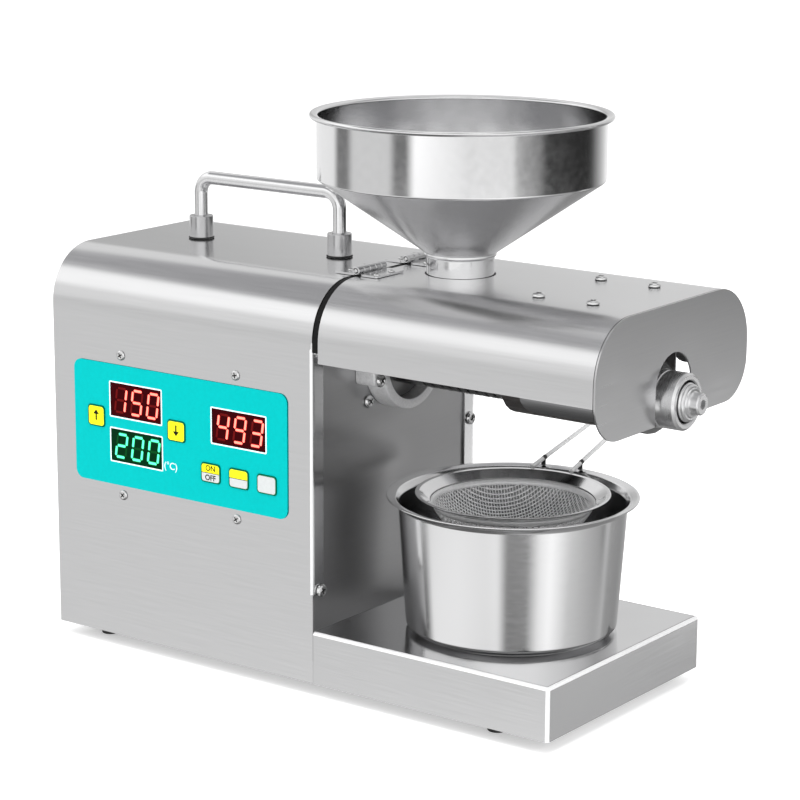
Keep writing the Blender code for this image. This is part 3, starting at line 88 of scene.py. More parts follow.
def extruded(bm, edges, moves):
    """Edges drawn out step by step; a move gives the new place of a vertex from its old one."""
    for move in moves:
        fresh = bmesh.ops.extrude_edge_only(bm, edges=edges)["geom"]
        edges = [item for item in fresh if isinstance(item, bmesh.types.BMEdge)]
        for vert in (item for item in fresh if isinstance(item, bmesh.types.BMVert)):
            vert.co = move(vert.co)


def slice_at(bm, faces, axis, value):
    """A row of edges across the faces where they pass the plane."""
    edges = {edge for face in faces for edge in face.edges}
    verts = {vert for face in faces for vert in face.verts}
    normal = Vector([1.0 if i == axis else 0.0 for i in range(3)])
    place = normal * value
    bmesh.ops.bisect_plane(bm, geom=[*faces, *edges, *verts], plane_co=place, plane_no=normal, dist=0.001)


def edge_line(bm, points, closed=False):
    """Edges through the points, in a ring if closed."""
    verts = [bm.verts.new(point) for point in points]
    return [bm.edges.new(pair) for pair in zip(verts, verts[1:] + (verts[:1] if closed else []))]


def edges_where(bm, test):
    """The edges whose two ends both pass the test."""
    return [edge for edge in bm.edges if all(test(vert.co) for vert in edge.verts)]


def faces_where(bm, test):
    """The faces whose middle passes the test."""
    return [face for face in bm.faces if test(face.calc_center_median())]


def new_object(name, data):
    """An object in the scene with this mesh, lamp, lens or curve."""
    obj = bpy.data.objects.new(name, data)
    bpy.context.scene.collection.objects.link(obj)
    return obj


def piece(name, bm, looks, body, replaces=(), wall=0.0, edge=0.0, outwards=False, sharp=32, flat=0.0):
    """Millimetres from the machine point to the frame, then a smooth-shaded object on its CAD body."""
    bmesh.ops.remove_doubles(bm, verts=bm.verts, dist=0.001)
    bmesh.ops.recalc_face_normals(bm, faces=bm.faces)
    if outwards:
        top_face = max(bm.faces, key=lambda face: face.calc_center_median().z)
        if top_face.normal.z < 0:
            bmesh.ops.reverse_faces(bm, faces=bm.faces)
    bm.transform(Matrix.Translation(machine) @ Matrix.Scale(0.001, 4))
    mesh = bpy.data.meshes.new(name)
    bm.to_mesh(mesh)
    bm.free()
    mesh.set_sharp_from_angle(angle=radians(sharp))
    for polygon in mesh.polygons:
        polygon.use_smooth = not flat or polygon.area * 1e6 < flat
    for finish in looks:
        mesh.materials.append(finish)
    obj = new_object(name, mesh)
    if wall:
        solid = obj.modifiers.new("wall", "SOLIDIFY")
        solid.thickness = wall / 1000
        solid.offset = -1.0
        solid.use_even_offset = True
    if edge:
        rounding = obj.modifiers.new("edge", "BEVEL")
        rounding.width = edge / 1000
        rounding.segments = 3
        rounding.harden_normals = True
        rounding.limit_method = "ANGLE"
        rounding.angle_limit = radians(35)
    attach(obj, body)
    if replaces:
        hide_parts(*replaces)
    return obj


def look(name):
    """A new material with its node tree and its shader."""
    material = bpy.data.materials.new(name)
    material.use_nodes = True
    tree = material.node_tree
    return material, tree, tree.nodes["Principled BSDF"]


def noise(tree, stretch, detail=2.0):
    """Noise in the part's own coordinates, stretched along its axes; scales are per metre."""
    place = tree.nodes.new("ShaderNodeTexCoord")
    mapping = tree.nodes.new("ShaderNodeMapping")
    mapping.inputs["Scale"].default_value = stretch
    texture = tree.nodes.new("ShaderNodeTexNoise")
    texture.inputs["Scale"].default_value = 1.0
    texture.inputs["Detail"].default_value = detail
    tree.links.new(place.outputs["Object"], mapping.inputs["Vector"])
    tree.links.new(mapping.outputs["Vector"], texture.inputs["Vector"])
    return texture.outputs["Fac"]


def between(tree, value, least, most):
    """The noise brought to a range of plain numbers."""
    remap = tree.nodes.new("ShaderNodeMapRange")
    for socket, number in (("From Min", 0.3), ("From Max", 0.7), ("To Min", least), ("To Max", most)):
        remap.inputs[socket].default_value = number
    tree.links.new(value, remap.inputs["Value"])
    return remap.outputs["Result"]


def tint(tree, value, dark, light):
    """The noise brought to a range of colours."""
    ramp = tree.nodes.new("ShaderNodeValToRGB")
    for element, position, colour in zip(ramp.color_ramp.elements, (0.3, 0.7), (dark, light)):
        element.position = position
        element.color = (*colour, 1)
    tree.links.new(value, ramp.inputs["Fac"])
    return ramp.outputs["Color"]


def bump(tree, shader, value, strength, distance):
    """The noise as a fine relief, its distance in metres."""
    relief = tree.nodes.new("ShaderNodeBump")
    relief.inputs["Strength"].default_value = strength
    relief.inputs["Distance"].default_value = distance
    tree.links.new(value, relief.inputs["Height"])
    tree.links.new(relief.outputs["Normal"], shader.inputs["Normal"])


def steel(name, colour, roughness, grain, spread=0.03, strength=0.15, metallic=1.0):
    """Bare steel: a fine grain in the given direction over broad faint smears."""
    material, tree, shader = look(name)
    shader.inputs["Metallic"].default_value = metallic
    lines = noise(tree, grain)
    smears = noise(tree, (22, 22, 22), 3)
    mixed = tree.nodes.new("ShaderNodeMath")
    mixed.operation = "ADD"
    tree.links.new(between(tree, lines, roughness - spread, roughness + spread), mixed.inputs[0])
    tree.links.new(between(tree, smears, -spread / 2, spread / 2), mixed.inputs[1])
    tree.links.new(mixed.outputs[0], shader.inputs["Roughness"])
    dark = [tone * (1 - spread) for tone in colour]
    light = [min(tone * (1 + spread), 1) for tone in colour]
    tree.links.new(tint(tree, lines, dark, light), shader.inputs["Base Color"])
    bump(tree, shader, lines, strength, 0.00001)
    return material


brushed_cover = steel("brushed cover", (0.73, 0.73, 0.735), 0.17, (25, 900, 900), 0.02, 0.02)
# The folds' steel is brighter and partly diffuse: a painted highlight along the folded edges.
fold_painted_highlight = steel("fold painted highlight", (0.88, 0.88, 0.885), 0.35, (300, 300, 300), 0.02, 0.02, 0.3)


def near_side(place):
    return place.y < hair - cover_half


def in_cutout(place):
    """Whether the place lies in a window or a key's hole of the panel."""
    return near_side(place) and any(x0 < place.x < x1 and z0 < place.z < z1 for x0, z0, x1, z1 in cutouts)


def on_front_fold(place):
    """Whether the place is on the front fold above a flange's foot, which gets the painted highlight."""
    foot = flange_feet[-1] if place.y < 0 else flange_feet[1]
    return -fold < place.x < -0.3 and abs(place.y) > cover_half - fold and foot < place.z < fold_line_top


bm = bmesh.new()
rear_edge = edge_line(bm, [(cover_rear, y, z) for y, z in hoop(0, 0)])
extruded(bm, rear_edge, [lambda co: Vector((-fold, co.y, co.z))])
for axis, value in ((2, fold_line_top), (2, flange_feet[-1]), (2, flange_feet[1]), (0, -fold - 1),
                    (0, cover_rear + 0.8), (2, 1)):
    slice_at(bm, bm.faces[:], axis, value)
cutouts = [*windows.values(), *keys.values()]
for x0, z0, x1, z1 in cutouts:
    for axis, value in ((0, x0 - support), (0, x0), (0, x1), (0, x1 + support),
                        (2, z0 - support), (2, z0), (2, z1), (2, z1 + support)):
        slice_at(bm, faces_where(bm, near_side), axis, value)
bmesh.ops.delete(bm, geom=faces_where(bm, in_cutout), context="FACES")
turned_in = [(fold * sin(angle) - fold, cover_half - fold * (1 - cos(angle)))
             for angle in (pi / 8, pi / 4, 3 * pi / 8, pi / 2)]
turned_in += [(0, reach) for reach in flange_faces]
for side, foot in flange_feet.items():
    front = edges_where(bm, lambda co: abs(co.x + fold) < hair and co.y * side > cover_half - hair
                        and foot - hair <= co.z <= cover_top - cover_corner + hair)
    extruded(bm, front, [lambda co, x=x, y=side * reach: Vector((x, y, co.z)) for x, reach in turned_in])
open_front = edges_where(bm, lambda co: abs(co.x + fold) < hair)
plain_front = [edge for edge in open_front if len(edge.link_faces) == 1]
extruded(bm, plain_front, [lambda co: Vector((0, co.y, co.z))])
# The front folds above the flange feet take the painted highlight.
for face in faces_where(bm, on_front_fold):
    face.material_index = 1
piece("housing_cover_sheet", bm, [brushed_cover, fold_painted_highlight], "root", ["housing_cover"],
      wall=sheet, edge=sheet_edge, outwards=True)


# Walls, pan and inlet
# The housing's front and rear walls and the pan are plain folded sheet of the same steel; the inlet
# is black moulded plastic with its tinned pins. They keep their CAD shapes.
def mottled(name, dark, light, grain, roughness, detail=2.0, specular=0.5, relief=()):
    """A plain material of two near tones; a relief is its grain and its depth in metres."""
    material, tree, shader = look(name)
    shader.inputs["Roughness"].default_value = roughness
    shader.inputs["Specular IOR Level"].default_value = specular
    tones = tint(tree, noise(tree, (grain, grain, grain), detail), dark, light)
    tree.links.new(tones, shader.inputs["Base Color"])
    if relief:
        bump(tree, shader, noise(tree, (relief[0],) * 3), 0.3, relief[1])
    return material


def paint(node, material):
    """A CAD node keeps its shape and gets this finish."""
    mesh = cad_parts[node].data
    mesh.materials.clear()
    mesh.materials.append(material)


brushed_wall = steel("brushed wall", (0.50, 0.50, 0.505), 0.34, (900, 25, 900), 0.015, 0.006)
dull_sheet = steel("dull sheet", (0.78, 0.78, 0.785), 0.42, (300, 300, 300), 0.02, 0.03)
inlet_plastic = mottled("inlet plastic", (0.018, 0.018, 0.019), (0.032, 0.032, 0.033), 600, 0.5,
                        relief=(1500, 0.00004))
for node_name in ("front_wall", "rear_panel", "bottom_pan"):
    paint(node_name, brushed_wall)
paint("heat_shield", dull_sheet)
paint("power_inlet", inlet_plastic)


# Carry handle
# A polished stainless rod bent to a bow and held in two turned bosses, each on a thin black washer
# on the housing's top.
rod_radius = 4.3
bow_top = cover_top + 40
bow_bend = 10.0
boss_places = {"rear": -157.3, "front": -44.7}
boss_radius = 7.75
boss_top = cover_top + 15
socket_radius = 4.6
socket_floor = cover_top + 7
boss_seat = cover_top + 0.35
washer_face = cover_top + 1.2
boss_spigot = 7.2
washer_outline = (7.3, cover_top + 0.3, 8.3, cover_top + 1.1)
straight_half = 1.5
round_share = 0.42
long_side_share = 6
flat_start = 1.6
facing = {"Z": Matrix.Identity(4), "X": Matrix.Rotation(pi / 2, 4, "Y"),
          "-Y": Matrix.Rotation(pi / 2, 4, "X")}


def rectangle(x0, y0, x1, y1):
    return [(x0, y0), (x1, y0), (x1, y1), (x0, y1)]


def soften(points, radius, steps=4, closed=False):
    """The outline with its corners rounded, and one point past each round so that flats stay flat."""
    out = []
    for i, point in enumerate(points):
        point = Vector(point)
        if not closed and i in (0, len(points) - 1):
            out.append(point)
            continue
        back = Vector(points[i - 1]) - point
        ahead = Vector(points[(i + 1) % len(points)]) - point
        half = back.angle(ahead) / 2
        if half > straight_half:
            out.append(point)
            continue
        reach = min(radius / tan(half), back.length * round_share, ahead.length * round_share)
        size = reach * tan(half)
        centre = point + (back.normalized() + ahead.normalized()).normalized() * size / sin(half)
        start = point + back.normalized() * reach - centre
        end = point + ahead.normalized() * reach - centre
        first = atan2(start.y, start.x)
        sweep = (atan2(end.y, end.x) - first + pi) % tau - pi
        if back.length > long_side_share * reach:
            out.append(point + back.normalized() * reach * flat_start)
        for k in range(steps + 1):
            angle = first + sweep * k / steps
            out.append(centre + Vector((cos(angle), sin(angle))) * size)
        if ahead.length > long_side_share * reach:
            out.append(point + ahead.normalized() * reach * flat_start)
    return out


def join(bm, part, matrix=Matrix.Identity(4), slot=0):
    """A part shape put in its place in a larger one, with its own material slot."""
    part.transform(matrix)
    bmesh.ops.recalc_face_normals(part, faces=part.faces)
    if slot:
        for face in part.faces:
            face.material_index = slot
    mesh = bpy.data.meshes.new("joined")
    part.to_mesh(mesh)
    part.free()
    bm.from_mesh(mesh)
    bpy.data.meshes.remove(mesh)


def add_turned(bm, profile, centre, axis="Z", steps=96, closed=False, slot=0):
    """A lathe shape from (radius, distance along the axis) points."""
    part = bmesh.new()
    edges = edge_line(part, [(radius, 0, along) for radius, along in profile], closed)
    bmesh.ops.spin(part, geom=[*part.verts, *edges], cent=(0, 0, 0), axis=(0, 0, 1), angle=tau,
                   steps=steps, use_merge=True)
    bmesh.ops.remove_doubles(part, verts=part.verts, dist=0.0005)
    join(bm, part, Matrix.Translation(centre) @ facing[axis], slot)


def bent(points, radius, steps=10):
    """The path through the points with a round bend at each inner one."""
    path = [Vector(points[0])]
    for before, corner, after in zip(points, points[1:], points[2:]):
        corner = Vector(corner)
        back = (Vector(before) - corner).normalized()
        ahead = (Vector(after) - corner).normalized()
        half = back.angle(ahead) / 2
        centre = corner + (back + ahead).normalized() * radius / sin(half)
        start = corner + back * radius / tan(half) - centre
        finish = corner + ahead * radius / tan(half) - centre
        turn = start.rotation_difference(finish)
        for i in range(steps + 1):
            path.append(centre + Matrix.Rotation(turn.angle * i / steps, 3, turn.axis) @ start)
    return path + [Vector(points[-1])]


def from_curve(bm, curve, matrix=Matrix.Identity(4), slot=0):
    """The mesh of a curve or a text joined to the shape."""
    holder = new_object("curve", curve)
    bpy.context.view_layer.update()
    mesh = bpy.data.meshes.new_from_object(holder.evaluated_get(bpy.context.evaluated_depsgraph_get()))
    part = bmesh.new()
    part.from_mesh(mesh)
    bmesh.ops.remove_doubles(part, verts=part.verts, dist=0.0005)
    join(bm, part, matrix, slot)
    bpy.data.objects.remove(holder)
    bpy.data.meshes.remove(mesh)


def add_tube(bm, path, radius, fine=6, slot=0):
    """A round wire along the path, with flat ends."""
    curve = bpy.data.curves.new("wire", "CURVE")
    curve.dimensions = "3D"
    curve.bevel_depth = radius
    curve.bevel_resolution = fine
    curve.use_fill_caps = True
    spline = curve.splines.new("POLY")
    spline.points.add(len(path) - 1)
    for point, place in zip(spline.points, path):
        point.co = (*place, 1)
    from_curve(bm, curve, slot=slot)


polished = steel("polished steel", (0.80, 0.80, 0.805), 0.14, (300, 300, 300), 0.02, 0.03)
boss_steel = steel("boss steel", (0.56, 0.56, 0.565), 0.2, (300, 300, 300), 0.02, 0.03)
washer_black = mottled("black washer", (0.015,) * 3, (0.04,) * 3, 900, 0.6)

bm = bmesh.new()
rear, front = boss_places["rear"], boss_places["front"]
rod_foot = socket_floor + 0.3
bow = [(rear, 0, rod_foot), (rear, 0, bow_top), (front, 0, bow_top), (front, 0, rod_foot)]
add_tube(bm, bent(bow, bow_bend, 12), rod_radius, 8)
piece("carry_handle_rod", bm, [polished], "root", ["carry_handle"])
for name, x in boss_places.items():
    bm = bmesh.new()
    boss = [(0, socket_floor), (socket_radius, socket_floor), (socket_radius, boss_top),
            (boss_radius, boss_top), (boss_radius, washer_face), (boss_spigot, washer_face),
            (boss_spigot, boss_seat), (0, boss_seat)]
    add_turned(bm, soften(boss, 0.5), (x, 0, 0))
    washer = soften(rectangle(*washer_outline), 0.3, 3, True)
    add_turned(bm, washer, (x, 0, 0), closed=True, slot=1)
    piece(f"handle_boss_{name}_turned", bm, [boss_steel, washer_black], "root", [f"handle_boss_{name}"])


# Tray
# Folded stainless tray in front of the housing: rounded folds with a painted highlight along them, and a
# thin seam round the top sheet.
tray_start = 0.3
tray_end = 170.8
tray_height = 33.0
tray_fold = 1.9
seam_margin = 0.3
seam_side = 0.22
seam_depth = 0.5
brushed_tray = steel("brushed tray", (0.72, 0.72, 0.725), 0.13, (25, 25, 900), 0.02, 0.015)
# Dark for the tray's seam; the same material is the painted shade at the screws' feet and recesses.
seam_and_screw_shade = mottled("seam", (0.02,) * 3, (0.05,) * 3, 400, 0.7)
bm = bmesh.new()
block = bmesh.ops.create_cube(bm, size=1.0)["verts"]
middle = Matrix.Translation(((tray_start + tray_end) / 2, 0, tray_height / 2))
size = Matrix.Diagonal((tray_end - tray_start, 2 * cover_half, tray_height, 1))
bmesh.ops.transform(bm, verts=block, matrix=middle @ size)
open_sides = [face for face in bm.faces if min(face.normal.z, face.normal.x) < -0.9]
bmesh.ops.delete(bm, geom=open_sides, context="FACES")
folds = [edge for edge in bm.edges if len(edge.link_faces) == 2]
# The folds' bevel faces take slot 2, the painted highlight.
bmesh.ops.bevel(bm, geom=folds, offset=tray_fold, segments=5, profile=0.5, affect="EDGES", material=2)
bmesh.ops.solidify(bm, geom=bm.faces[:], thickness=sheet)
top_sheet = [face for face in faces_where(bm, lambda place: place.z > tray_height - 0.1)
             if face.normal.z > 0.999]
bmesh.ops.inset_region(bm, faces=top_sheet, thickness=seam_margin)
for depth in (-seam_depth, seam_depth):
    before = set(bm.faces)
    bmesh.ops.inset_region(bm, faces=top_sheet, thickness=seam_side, depth=depth)
    for face in set(bm.faces) - before:
        face.material_index = 1
tray = piece("tray_sheet", bm, [brushed_tray, seam_and_screw_shade, fold_painted_highlight], "root", ["base_tray"], flat=900)
tray.visible_glossy = False


# Rubber feet
# Four moulded black rubber feet under the pan, slightly tapered, with a recess for the screw in each.
foot_x = {"rear": -183.0, "front": 123.0}
foot_y = {"near": -66.0, "far": 66.0}
foot_outline = [(0, -2.0), (2.4, -2.0), (2.4, -8.0), (5.72, -8.0), (6.5, -0.3), (0, -0.3)]
rubber = mottled("rubber", (0.016, 0.016, 0.016), (0.034, 0.034, 0.033), 300, 0.75,
                 relief=(2500, 0.00003))
for end, x in foot_x.items():
    for side, y in foot_y.items():
        bm = bmesh.new()
        add_turned(bm, soften(foot_outline, 0.7), (x, y, 0), steps=40)
        piece(f"foot_{end}_{side}", bm, [rubber], "root", [f"rubber_foot_{end}_{side}"])


# Hood
# The hinged hood is a folded sheet like the housing's cover, with a deeper lip at its front end
# that curls in towards the flat end plate. The end plate has the arch for the press nose.
hood_start = 4.5
hood_end = 196.2
side_foot = 200.0
lip_start = 148.0
lip_drop = 7.6
lip_centre = (60.0, 202.5)
lip_radius = 25.0
throat_x = 47.3
throat_square = 28.0
throat_ring = 24.0
throat_hole = 21.6
arch_radius = 20.0
arch_centre_z = 198.0
brushed_hood = steel("brushed hood", (0.73, 0.73, 0.735), 0.23, (25, 900, 900), 0.02, 0.02)
# A darker copy of the hood's steel: painted shade on the lip that curls under.
lip_painted_shade = steel("lip painted shade", (0.30, 0.30, 0.305), 0.3, (25, 900, 900), 0.02, 0.04)


def lip_half_width(z):
    """Half the hood's width at this height, where the lip curls in."""
    if z >= lip_centre[1]:
        return cover_half
    return lip_centre[0] + sqrt(lip_radius**2 - (lip_centre[1] - z) ** 2)


def lowered(share):
    """The move of a lip's edge down by this share of the lip, round the quarter circle at its start."""
    def move(co):
        drop = lip_drop
        if co.x < lip_start + lip_drop:
            drop = sqrt(max(lip_drop**2 - (lip_start + lip_drop - co.x) ** 2, 0))
        z = side_foot - drop * share
        return Vector((co.x, (1 if co.y > 0 else -1) * lip_half_width(z), z))
    return move


def over_throat(place):
    across = max(abs(place.x - throat_x), abs(place.y))
    return across < throat_square and place.z > cover_top - 1


bm = bmesh.new()
rear_edge = edge_line(bm, [(hood_start, y, z) for y, z in hoop(0, side_foot)])
extruded(bm, rear_edge, [lambda co, x=x: Vector((x, co.y, co.z))
                         for x in (hood_start + 1, lip_start, hood_end - 1, hood_end)])
slice_at(bm, bm.faces[:], 2, side_foot + 1)
for angle in (pi / 16, pi / 8, pi / 4, 3 * pi / 8, pi / 2):
    slice_at(bm, bm.faces[:], 0, lip_start + lip_drop - lip_drop * cos(angle))
lip_edges = edges_where(bm, lambda co: abs(co.z - side_foot) < hair and co.x > lip_start - 0.1)
extruded(bm, lip_edges, [lowered(step / 4) for step in (1, 2, 3, 4)])
for x in (throat_x - throat_square, throat_x + throat_square):
    slice_at(bm, bm.faces[:], 0, x)
for y in (-throat_square, throat_square):
    slice_at(bm, [face for face in bm.faces if abs(face.normal.z) > 0.999], 1, y)
bmesh.ops.delete(bm, geom=faces_where(bm, over_throat), context="FACES")
angles = [tau * k / 64 for k in range(64)]
reaches = [[throat_square / max(abs(cos(angle)), abs(sin(angle))) for angle in angles],
           [throat_ring] * len(angles), [throat_hole] * len(angles)]
rings = [edge_line(bm, [(throat_x + reach * cos(angle), reach * sin(angle), cover_top)
                        for reach, angle in zip(row, angles)], True) for row in reaches]
for outer, inner in zip(rings, rings[1:]):
    bmesh.ops.bridge_loops(bm, edges=[*outer, *inner])
# The lip's faces below the side's foot take the painted shade.
for face in faces_where(bm, lambda place: place.z < side_foot - 0.1):
    face.material_index = 1
piece("hood_sheet", bm, [brushed_hood, lip_painted_shade], "hood", ["hood_cover"],
      wall=sheet, edge=sheet_edge, outwards=True)


def cut_sheet(bm, outlines, thickness, matrix, slot=0):
    """A flat sheet from closed (u, v) outlines, the first its edge and the others holes."""
    curve = bpy.data.curves.new("sheet", "CURVE")
    curve.dimensions = "2D"
    curve.fill_mode = "BOTH"
    curve.extrude = thickness / 2
    for outline in outlines:
        spline = curve.splines.new("POLY")
        spline.points.add(len(outline) - 1)
        for point, (u, v) in zip(spline.points, outline):
            point.co = (u, v, 0, 1)
        spline.use_cyclic_u = True
    from_curve(bm, curve, matrix, slot)


def arc(centre, radius, start, sweep, steps):
    """Points (u, v) on an arc, its start and sweep in quarter turns."""
    angles = [(start + sweep * k / steps) * pi / 2 for k in range(steps + 1)]
    return [(centre[0] + radius * cos(angle), centre[1] + radius * sin(angle)) for angle in angles]


facing_x = Matrix.Rotation(pi / 2, 4, "Z") @ Matrix.Rotation(pi / 2, 4, "X")
plate_foot = lip_centre[1] - lip_radius
plate = arc((0, arch_centre_z), arch_radius, 2, -2, 32)
plate += [(arch_radius, plate_foot)]
plate += arc(lip_centre, lip_radius, -1, 1, 12)
plate += hoop(0, 0)[1:-1]
plate += arc((-lip_centre[0], lip_centre[1]), lip_radius, 2, 1, 12)
plate += [(-arch_radius, plate_foot)]
brushed_end = steel("brushed end plate", (0.62, 0.62, 0.625), 0.30, (900, 25, 900), 0.02, 0.03)
bm = bmesh.new()
cut_sheet(bm, [plate], sheet, Matrix.Translation((hood_end + 0.9, 0, 0)) @ facing_x)
piece("hood_end_sheet", bm, [brushed_end], "hood", ["hood_end_plate"], edge=0.3)


# Hood gasket
# A black rubber strip round the joint between the housing and the hood.
seal_foot = 206
seal_length = 3.9
seal_black = mottled("black seal", (0.003,) * 3, (0.009,) * 3, 600, 0.5, specular=0.15)
bm = bmesh.new()
strip = [*hoop(0.4, seal_foot), *hoop(6.0, seal_foot)[::-1]]
cut_sheet(bm, [strip], seal_length, Matrix.Translation((hood_start / 2, 0, 0)) @ facing_x)
piece("gasket_strip", bm, [seal_black], "root", ["hood_gasket"], edge=0.8)


# Hinges
# Two stainless butt hinges: leaves with alternating knuckles, a pin, and two screws in each leaf.
hinge_starts = {"near": -46.3, "far": 4.5}
hinge_length = 28.3
hinge_axis = (3, 250)
knuckle_pitch = hinge_length / 5
knuckle_radius = 2.75
knuckle_gap = 0.15
leaf_reach = (3.05, 16)
leaf_middle = 247.9
tab_foot = 247.42
tab_top = 248.4
pin_radius = 1.2
hinge_steel = steel("hinge steel", (0.68, 0.68, 0.685), 0.18, (400, 400, 400), 0.03, 0.04)
pin_steel = steel("pin steel", (0.80, 0.80, 0.80), 0.18, (400, 400, 400))


def add_knuckle(bm, start, end, direction):
    """One turned knuckle of a leaf, and the tab that joins it to the leaf."""
    length = end - start
    barrel = soften(rectangle(1.5, 0, knuckle_radius, length), 0.45, 3, True)
    add_turned(bm, barrel, (hinge_axis[0], end, hinge_axis[1]), "-Y", 40, closed=True, slot=1)
    tab = [(hinge_axis[0] + direction * reach, z)
           for reach, z in ((0, tab_foot), (4.2, tab_foot), (4.2, tab_top), (2, tab_top))]
    place = Matrix.Translation((0, (start + end) / 2, 0)) @ facing["-Y"]
    cut_sheet(bm, [soften(tab, 0.1, 1, True)], length - 0.2, place)


for side, start in hinge_starts.items():
    for leaf, direction, parity, body in (("fixed", -1, 0, "root"), ("hood", 1, 1, "hood")):
        bm = bmesh.new()
        inner, outer = [hinge_axis[0] + direction * reach for reach in leaf_reach]
        corners = soften(rectangle(inner, start, outer, start + hinge_length), 1.6, 5, True)
        cut_sheet(bm, [corners], sheet, Matrix.Translation((0, 0, leaf_middle)))
        for index in range(parity, 5, 2):
            first = start + index * knuckle_pitch
            add_knuckle(bm, first + knuckle_gap, first + knuckle_pitch - knuckle_gap, direction)
        piece(f"hinge_{leaf}_{side}", bm, [brushed_cover, hinge_steel], body,
              [f"hinge_leaf_{leaf}_{side}"], edge=0.15)
    bm = bmesh.new()
    pin = soften([(0, 0), (pin_radius, 0), (pin_radius, hinge_length), (0, hinge_length)], 0.35, 3)
    add_turned(bm, pin, (hinge_axis[0], start + hinge_length, hinge_axis[1]), "-Y", 24)
    piece(f"hinge_pin_bright_{side}", bm, [pin_steel], "root", [f"hinge_pin_{side}"])


# Screws
# Small bright cross-recess pan heads, all of one kind in several sizes: pressed heads with the cross
# sunk in. They hold the covers, the seat, the panel and the hinges.
head_profile = ((0.9, 0), (0.9, 0.12), (1, 0.2), (1, 0.35), (0.93, 0.66), (0.8, 0.87), (0.68, 0.96))
recess_profile = ((0.99, 1.0), (0.15, 0.8))
recess_arm = 0.56
recess_half = 0.13
wall_screw = (4.2, 2.4)
flange_screw = (4.0, 2.2)
panel_screw = (3.2, 1.2)
hood_screw = (3.9, 2.5)
hinge_screw = (2.2, 1.0)
screw_steel = steel("screw steel", (0.80, 0.80, 0.80), 0.2, (500, 500, 500), 0.04, 0.04)


def loft(bm, rings, cap=True):
    """Closed rings of as many points each, joined one to the next."""
    loops = [edge_line(bm, ring, True) for ring in rings]
    for first, second in zip(loops, loops[1:]):
        bmesh.ops.bridge_loops(bm, edges=[*first, *second])
    if cap:
        bmesh.ops.holes_fill(bm, edges=loops[-1], sides=0)


def cross_radius(angle):
    """Distance from the middle to the outline of the cross, as a share of the head's radius."""
    cosine = max(abs(cos(angle)), 1e-6)
    sine = max(abs(sin(angle)), 1e-6)
    across = min(recess_arm / cosine, recess_half / sine)
    upright = min(recess_half / cosine, recess_arm / sine)
    return max(across, upright)


def add_screw(bm, place, axis, size, turn):
    """A screw head seated at the place; its foot and its recess carry painted shade."""
    radius, height = size
    part = bmesh.new()
    angles = [tau * k / 48 for k in range(48)]
    rings = [[(radius * share * cos(angle), radius * share * sin(angle), height * rise) for angle in angles]
             for share, rise in head_profile]
    for rise, share in recess_profile:
        reaches = [radius * share * cross_radius(angle) for angle in angles]
        rings.append([(reach * cos(angle), reach * sin(angle), height * rise)
                      for reach, angle in zip(reaches, angles)])
    loft(part, rings)
    # Painted shade: the screw's foot ring and its cross recess take the dark slot.
    for face in faces_where(part, lambda middle: middle.z < height * 0.15
                            or (middle.z < height * 0.9 and middle.xy.length < radius * 0.6)):
        face.material_index = 1
    join(bm, part, Matrix.Translation(place) @ facing[axis] @ Matrix.Rotation(turn, 4, "Z"))


def screw_group(name, body, screws):
    """One object of screws: (place, axis, size, turn) each."""
    bm = bmesh.new()
    for screw in screws:
        add_screw(bm, *screw)
    piece(name, bm, [screw_steel, seam_and_screw_shade], body)


wall_places = ((0.05, -77.5, 57.6), (0.05, -79.5, 206), (0.05, 79.5, 135), (0.05, 79.5, 206))
wall_screws = [(place, "X", wall_screw, 0.3) for place in wall_places]
screw_group("housing_screws", "root", [*wall_screws, ((-1.45, -27.4, 165.8), "X", flange_screw, 0.8)])
panel_places = ((-152, 184.5, 0.5), (-58.8, 184.5, 0.2), (-152, 94, 0.9), (-58.8, 94, 0.6))
screw_group("panel_screws", "root", [((x, -85.05, z), "-Y", panel_screw, turn)
                                     for x, z, turn in panel_places])
hood_top_screws = [((x, y, 247.05), "Z", hood_screw, 0.4 + y / 50) for x in (126, 163) for y in (-33.5, 33.5)]
hood_leaf_screws = [((x, y, 248.52), "Z", hinge_screw, x) for x, y in
                    ((17.1, -43.5), (16.1, -27.7), (17.1, 7.3), (16.1, 23.1))]
screw_group("hood_screws", "hood", hood_top_screws + hood_leaf_screws)
screw_group("hinge_screws", "root", [((x, y, 248.52), "Z", hinge_screw, x) for x, y in
                                     ((-8.1, -21.5), (-5.5, -38.6), (-8.1, 29.3), (-5.5, 12.2))])


# Press seat
# A die-cast aluminium seat ring with two ears, screwed to the front wall; it holds the barrel.
axis_z = 190
seat_ring = 31.5
ear_reach = 40.5
ear_half = 11.8
ear_corner = 4.0
seat_screw = (4.1, 2.2)
seat_edges = ((-1.2, 0), (11.8, 0), (12.35, 0.18), (12.82, 0.6), (13.0, 1.2))
seat_bore = ((13.0, 26.3), (12.75, 25.6), (12.0, 25.3), (1.0, 25.3), (1.0, 14.0), (-1.2, 14.0))
cast, tree, shader = look("cast aluminium")
shader.inputs["Metallic"].default_value = 0.45
speckle = noise(tree, (700, 700, 700), 4)
tree.links.new(tint(tree, speckle, (0.62, 0.62, 0.625), (0.74, 0.74, 0.745)), shader.inputs["Base Color"])
tree.links.new(between(tree, speckle, 0.36, 0.46), shader.inputs["Roughness"])
bump(tree, shader, speckle, 0.2, 0.00006)


def seat_reach(angle, shrink):
    """Distance from the axis to the seat's outline: the ring, or an ear with rounded corners."""
    long_side = ear_reach - shrink
    short_side = ear_half - shrink
    cosine = max(abs(cos(angle)), 1e-6)
    sine = max(abs(sin(angle)), 1e-6)
    reach = min(long_side / cosine, short_side / sine)
    if reach * cosine > long_side - ear_corner and reach * sine > short_side - ear_corner:
        corner_y = long_side - ear_corner
        corner_z = short_side - ear_corner
        along = corner_y * cosine + corner_z * sine
        reach = along + sqrt(max(along**2 - (corner_y**2 + corner_z**2 - ear_corner**2), 0))
    return max(seat_ring - shrink, reach)


def ring_across(x, radii, angles):
    """A ring of points round the press axis."""
    return [(x, radius * cos(angle), axis_z + radius * sin(angle)) for radius, angle in zip(radii, angles)]


